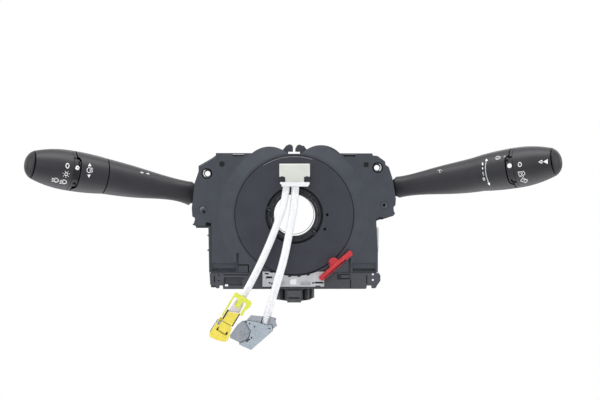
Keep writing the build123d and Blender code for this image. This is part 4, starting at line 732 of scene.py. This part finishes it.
def print_wiper_symbols():
    """Wiper speeds along their scale, the washer and the wiper's own arc."""
    speeds = (
        ("scale_top", drawn_patch((2.7, 2.9), TRIANGLE), (163.4, 46.7), 0),
        ("scale_bottom", drawn_patch((2.7, 3.2), TRIANGLE, 200), (165.6, 26.5), 0),
        ("speed_fast", drawn_patch((1.3, 2.5), 20), (160.1, 43.4), 4),
        ("speed_slow", drawn_patch((1.0, 1.8), 20), (160.1, 39.6), 0),
        ("speed_pause", drawn_line([(-0.4, 1.6), (0.4, -1.6)], 0.7), (160.6, 34.9), 0),
        ("speed_auto", drawn_line(oval(1.4, 2.3, 8), 0.6, closed=True), (161.2, 30.7), 12),
    )
    lay_print("wiper_scale", [drawn_line(WIPER_SWEEP, 0.6, smooth=True)], RIGHT_LEVER, "print_and_glint_white")
    for name, piece, place, turn in speeds:
        lay_print(name, [piece], RIGHT_LEVER, "print_and_glint_white", place, turn)
    washer = [
        drawn_ring(4.3, 2.4, 0.55),
        drawn_line([(-1.4, -0.5), (0.9, 0.6)], 0.4),
        drawn_line([(-0.2, -0.9), (1.3, 0.0)], 0.35),
    ]
    lay_print("wash_oval", washer, RIGHT_LEVER, "print_and_glint_white", (173.1, 48.6), 14)
    drop = drawn_line([(-0.6, -0.4), (0.7, 0.5)], 0.7)
    lay_print("wash_drop", [drop], RIGHT_LEVER, "print_and_glint_white", (178.7, 49.6))
    wiper = [
        drawn_line([(-1.9, 0.4), (0, 1.5), (1.9, 0.4)], 0.5, smooth=True),
        drawn_line([(0.2, -1.5), (-0.8, 1.0)], 0.5),
    ]
    lay_print("wiper_arc", wiper, RIGHT_LEVER, "print_and_glint_white", (123.8, 37.4))


def print_stalks():
    """Both index dots, the painted shade on both index tabs, and the symbols of each stalk."""
    dot = drawn_ring(2.3, 2.3, 1.5)
    lay_print("index_dot_left", [dot], LEFT_INDEX, "print_and_glint_white", (-184.4, 40.0), lift=DOT_LIFT)
    print_tab_shade(LEFT_INDEX, LEFT_TAB_FACE_SHADE, LEFT_TAB_EDGE_SHADE, LEFT_TAB_END_SHADES)
    print_light_symbols()
    print_fog_symbols()
    print_turn_arrows()
    dot = drawn_patch((3.9, 3.9), 24)
    lay_print("index_dot_right", [dot], RIGHT_INDEX, "print_and_glint_white", (183.0, 41.9), lift=DOT_LIFT)
    print_tab_shade(RIGHT_INDEX, RIGHT_TAB_FACE_SHADE, RIGHT_TAB_EDGE_SHADE, RIGHT_TAB_END_SHADES)
    print_rear_wiper_symbols()
    print_wiper_symbols()


# ------------------------------------------------------------------ small fittings
PLUG_TOP = (-43.4, -69.3)
PLUG_AXIS = (0.511, 0.860)
PLUG_TURN = math.degrees(math.atan2(*PLUG_AXIS))
PLUG_MIDDLE = -56.0
SLOT_SHADE_DEPTH = 8.0
# dark blocks standing for the shade in the slots and on the nose's side: name, across, up, width, height
SLOT_SHADES = (
    ("slot_shade_left", -5.2, -20.4, 1.3, 8.6),
    ("slot_shade_right", 4.95, -20.4, 0.9, 12.6),
    ("nose_side_shade", -9.05, -35.6, 0.5, 9.0),
)
GLAND_MIDDLE = (-20.9, -55.2, -90.4)
GLAND_SIZE = (9.6, 7.0, 8.4)
GLAND_TURN = 16

LIP_MIDDLE = (-0.4, -6, 0.75)
LIP_RADIUS = 17.0
LIP_THICK = 0.22

CUFF_LENGTH = 5.4
CUFF_SUNK = 1.0  # how far it starts inside the lever
CUFF_HALF_DEPTH = 7.8
CUFF_ROUNDING = 0.6
SMOOTH_UP_TO = math.radians(35)
# name, middle of the lever's root, direction towards the module, half height, taper, body
CUFFS = (
    ("left_cuff", (-87.8, -16.3, 18.65), (0.949, 0.2756, -0.152), 9.3, 0.86, "left_stalk"),
    ("right_cuff", (87.6, -16.3, 23.5), (-0.949, 0.2756, -0.152), 9.0, 0.70, "right_stalk"),
)

# dark blocks standing for the shaded inside of the two holes
HOLE_SHADE_SIZE = (4.6, 1.6, 4.6)
HOLE_SHADE_BLOCKS = (("hole_shade_left", (-61.6, -31.6, 43.7)), ("hole_shade_right", (61.0, -31.6, 42.7)))


def plug_point(across, up):
    """A place on the yellow plug, given across and up its own axis."""
    return (
        PLUG_TOP[0] + across * PLUG_AXIS[1] + up * PLUG_AXIS[0],
        PLUG_TOP[1] - across * PLUG_AXIS[0] + up * PLUG_AXIS[1],
    )


def small_block(name, middle, size, turn, rounding, body, finish):
    """A little block with rounded corners, turned in the plane of the front."""
    bpy.ops.object.select_all(action="DESELECT")
    bpy.ops.mesh.primitive_cube_add(size=1, location=tuple(value * MM for value in middle))
    block = bpy.context.object
    block.name = name
    block.scale = tuple(value * MM for value in size)
    block.rotation_euler = (0, math.radians(turn), 0)
    bpy.ops.object.transform_apply(location=True, rotation=True, scale=True)
    bevel = block.modifiers.new("rounding", "BEVEL")
    bevel.width = rounding * MM
    bevel.segments = 2
    bpy.ops.object.modifier_apply(modifier=bevel.name)
    block.data.materials.append(finishes[finish])
    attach(block, body)
    return block


def plug_block(name, across, up, size, rounding, finish, slot, back=0):
    """A little block in line with the yellow plug."""
    x, z = plug_point(across, up)
    middle = (x, PLUG_MIDDLE + back, z)
    return small_block(name, middle, size, PLUG_TURN, rounding, "rotor", finish)


def airbag_plug_fittings():
    """Dark blocks for the painted shade in the yellow plug's slots and down its nose's side, the blue-grey
    stop at its nose, and its shoulder.
    """
    fittings = []
    for name, across, up, width, height in SLOT_SHADES:
        size = (width, SLOT_SHADE_DEPTH, height)
        fittings.append(plug_block(name, across, up, size, 0.15, "hub_black", "housing_black"))
    fittings.append(plug_block("plug_stop", -8.5, -29.2, (1.3, 7.0, 3.4), 0.3, "stop_blue", "plug_grey"))
    shoulder = ("plug_shoulder", -6.4, -26.6, (3.4, 7.4, 4.4), 0.3, "plug_yellow", "plug_yellow")
    fittings.append(plug_block(*shoulder, back=1.8))
    return fittings


def horn_gland():
    """Block that closes the grey plug's cable channel round the sleeve."""
    return small_block(
        "horn_gland", GLAND_MIDDLE, GLAND_SIZE, GLAND_TURN, 0.4, "rotor", "cap_grey_and_highlight"
    )


def bore_lip():
    """Thin lip low in the bore: an eccentric ring whose upper side is buried in the hub's wall."""
    bpy.ops.object.select_all(action="DESELECT")
    bpy.ops.mesh.primitive_torus_add(
        major_radius=LIP_RADIUS * MM,
        minor_radius=LIP_THICK * MM,
        major_segments=96,
        minor_segments=8,
        location=tuple(value * MM for value in LIP_MIDDLE),
        rotation=TO_THE_FRONT,
    )
    lip = bpy.context.object
    lip.name = "bore_lip"
    bpy.ops.object.transform_apply(location=True, rotation=True, scale=True)
    lip.data.materials.append(finishes["disc_black"])
    lip.data.shade_smooth()
    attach(lip, "rotor")


def lever_cuff(name, middle, towards_module, half_height, taper, body):
    """Tapered collar that carries the lever's root in behind the cover's edge."""
    bpy.ops.object.select_all(action="DESELECT")
    bpy.ops.mesh.primitive_cone_add(
        vertices=48, radius1=1, radius2=taper, depth=CUFF_LENGTH * MM, location=(0, 0, 0)
    )
    cuff = bpy.context.object
    cuff.name = name
    cuff.scale = (CUFF_HALF_DEPTH * MM, half_height * MM, 1)
    bpy.ops.object.transform_apply(location=True, rotation=True, scale=True)
    axis = Vector(towards_module)
    cuff.rotation_euler = axis.to_track_quat("Z", "Y").to_euler()
    cuff.location = (Vector(middle) + axis * (CUFF_LENGTH / 2 - CUFF_SUNK)) * MM
    bpy.ops.object.transform_apply(location=True, rotation=True, scale=True)
    bevel = cuff.modifiers.new("rounding", "BEVEL")
    bevel.width = CUFF_ROUNDING * MM
    bevel.segments = 2
    bevel.limit_method = "ANGLE"
    bpy.ops.object.modifier_apply(modifier=bevel.name)
    bpy.ops.object.shade_smooth_by_angle(angle=SMOOTH_UP_TO)
    cuff.data.materials.append(finishes["stalk_black"])
    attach(cuff, body)


def hole_shade_blocks():
    """Dark blocks set inside the two small holes at the top of the cover, standing for the shaded inside
    seen through them.
    """
    for name, middle in HOLE_SHADE_BLOCKS:
        small_block(name, middle, HOLE_SHADE_SIZE, 0, 0.2, "root", "hub_black")


# ------------------------------------------------------------------ marks on the module
# points and width of the painted shade in each slot and gap
BRACKET_SLOT_SHADES = (
    ([(-24.2, -53.6), (-19.0, -53.9)], 1.8),
    ([(-21.8, -57.6), (-18.2, -57.6)], 1.2),
    ([(-25.0, -49.8), (-21.8, -50.0)], 1.2),
    ([(15.0, -57.9), (18.6, -57.5), (22.2, -58.6)], 1.1),
)
# angle, inner and outer radius
HUB_JOINTS = ((-42, 19.4, 22.8), (166, 20.6, 22.8), (50, 20.6, 22.8))
# first and last angle
HUB_HIGHLIGHT_LINES = ((-36, 44), (96, 156), (186, 246))
HUB_HIGHLIGHT_RADIUS = 20.0
GROOVE_TOP = -63.0
GROOVE_BOTTOM = -72.6
# painted shade down the grooves and a painted highlight on one rib: across, width, finish
CONNECTOR_SHADES_AND_HIGHLIGHT = (
    (-10.0, 4.0, "hub_black"),
    (9.2, 4.2, "hub_black"),
    (12.35, 0.8, "cap_grey_and_highlight"),
    (14.2, 1.6, "hub_black"),
)
# name, centre, centre of the shaded rim, first and last angle of the glint
SHROUD_HOLES = (
    ("right", (70.0, 40.4), (70.9, 40.3), -50, 50),
    ("left", (-73.4, 35.4), (-74.3, 35.3), 130, 230),
)
RIGHT_SCREW = (76.2, 8.5)
LEFT_SCREW = (-77.0, 3.0)


def plug_latch_marks():
    """Painted shade in the open ends of the slit round the latch on the yellow plug's nose and along the
    slit, and the stop's face.
    """
    for name, across, up in (("latch_end_shade_left", -4.7, -35.0), ("latch_end_shade_right", 4.0, -34.3)):
        end = drawn_patch((1.8, 2.8), 12)
        lay_print(name, [end], AIRBAG_PLUG, "shade_black", plug_point(across, up), -PLUG_TURN)
    slit = drawn_line([plug_point(-2.6, -36.1), plug_point(3.4, -36.1)], 0.7)
    lay_print("latch_slit_shade", [slit], AIRBAG_PLUG, "shade_black")
    face = drawn_patch((2.2, 5.6), 16)
    lay_print("stop_face", [face], AIRBAG_PLUG, "stop_blue", plug_point(-6.3, -29.0), -PLUG_TURN)


def bracket_marks():
    """Pale pad in the middle of the bracket, and painted shade in its slots and gaps."""
    lay_print("bracket_pad", [drawn_patch((9.2, 8.8), SQUARE, 45)], BRACKET, "pad_white", (-0.5, -56.9))
    for number, (points, width) in enumerate(BRACKET_SLOT_SHADES):
        lay_print(f"bracket_slot_shade_{number}", [drawn_line(points, width)], BRACKET, "shade_black")


def lock_marks():
    """Lit ridge along the red lock's bar, and the shaded side of the bar and of the knob."""
    ridge = drawn_line([(25.6, -49.8), (46.6, -32.6)], 1.3)
    lay_print("lock_ridge", [ridge], LOCK, "ridge_red")
    side = drawn_line([(25.4, -53.4), (49.0, -34.0)], 1.2)
    lay_print("lock_shade", [side], LOCK, "shade_red")
    knob = drawn_line(arc(3.4, 95, 235, (33.0, -39.7)), 0.9)
    lay_print("knob_shade", [knob], LOCK, "shade_red")


def hub_marks():
    """Joints across the hub's face ring, a painted highlight on the edge beside each, and a painted
    highlight line round it.
    """
    edges = (("joint", 0.0, 0.8, "shade_black"), ("glint", 2.4, 0.45, "highlight_grey"))
    for number, (angle, inner, outer) in enumerate(HUB_JOINTS):
        for name, turn, width, finish in edges:
            edge = drawn_line([polar(inner, angle + turn), polar(outer, angle + turn)], width)
            lay_print(f"hub_{name}_{number}", [edge], HUB, finish)
    for number, (first, last) in enumerate(HUB_HIGHLIGHT_LINES):
        line = drawn_line(arc(HUB_HIGHLIGHT_RADIUS, first, last), 0.35)
        lay_print(f"hub_highlight_line_{number}", [line], HUB, "highlight_grey")


def disc_rim_highlight():
    """Painted highlight along the disc's rim."""
    lay_print("disc_rim_highlight", [drawn_line(arc(49.7, 72, 126), 0.5)], DISC, "highlight_grey")


def connector_marks():
    """Painted shade down the connector's grooves and a painted highlight on the rib between them."""
    for number, (across, width, finish) in enumerate(CONNECTOR_SHADES_AND_HIGHLIGHT):
        stripe = drawn_line([(across, GROOVE_TOP), (across, GROOVE_BOTTOM)], width)
        lay_print(f"connector_shade_and_highlight_{number}", [stripe], CONNECTOR, finish)


def hole_marks():
    """Shaded rim and step of each shroud hole, and the glint between them."""
    for name, centre, rim, first, last in SHROUD_HOLES:
        shaded = drawn_line(arc(4.15, 0, 350, rim), 0.8, closed=True)
        lay_print(f"hole_rim_{name}", [shaded], COVER, "shade_black")
        step = drawn_line(arc(2.75, 0, 350, centre), 0.9, closed=True)
        lay_print(f"hole_step_{name}", [step], COVER, "shade_black")
        glint = drawn_line(arc(3.65, first, last, centre), 0.65)
        lay_print(f"hole_glint_{name}", [glint], COVER, "print_and_glint_white")


def screw_marks():
    """Painted shade in the socket of each cover screw, and a painted highlight on its side."""
    lay_print("screw_socket_shade_right", [drawn_patch((2.6, 2.6), 16)], SCREWS, "shade_black", RIGHT_SCREW)
    lay_print("screw_socket_shade_left", [drawn_patch((2.4, 2.4), 16)], SCREWS, "shade_black", LEFT_SCREW)
    lay_print("screw_highlight_left", [drawn_patch((3.8, 2.4), 16, 25)], SCREWS, "highlight_grey", (-78.4, 5.7))
    highlight_arc = drawn_line(arc(2.5, -60, 30, RIGHT_SCREW), 0.7)
    lay_print("screw_highlight_right", [highlight_arc], SCREWS, "highlight_grey")


def cover_marks():
    """Painted highlight along the cover's left shoulder edge, and the small painted shadows at its feet."""
    shoulder = drawn_line([(-80.0, 41.4), (-67.4, 49.0)], 0.6)
    lay_print("shoulder_highlight_left", [shoulder], COVER, "highlight_grey")
    left_foot = drawn_line([(-75.4, -7.6), (-70.6, -8.2)], 2.9)
    lay_print("foot_shadow_left", [left_foot], COVER, "shade_black")
    right_foot = drawn_line([(71.4, -2.2), (75.8, -3.0)], 1.2)
    lay_print("foot_shadow_right", [right_foot], COVER, "shade_black")


# ------------------------------------------------------------------ the whole
add_camera()
add_tent()
add_lamps()
add_floor()

airbag_fittings = airbag_plug_fittings()
horn_fittings = [horn_gland()]
corrugated_sleeve(
    "airbag_sleeve",
    AIRBAG_ROUTE,
    AIRBAG_DIAMETER,
    "airbag_cable_sleeve",
)
corrugated_sleeve(
    "horn_sleeve",
    HORN_ROUTE,
    HORN_DIAMETER,
    "horn_cable_sleeve",
)
dress_nodes()
bore_lip()
plug_latch_marks()
for cuff in CUFFS:
    lever_cuff(*cuff)
bracket_marks()
lock_marks()
hub_marks()
disc_rim_highlight()
hole_shade_blocks()
connector_marks()
hole_marks()
screw_marks()
cover_marks()
print_stalks()

bpy.context.scene.view_settings.view_transform = "Standard"
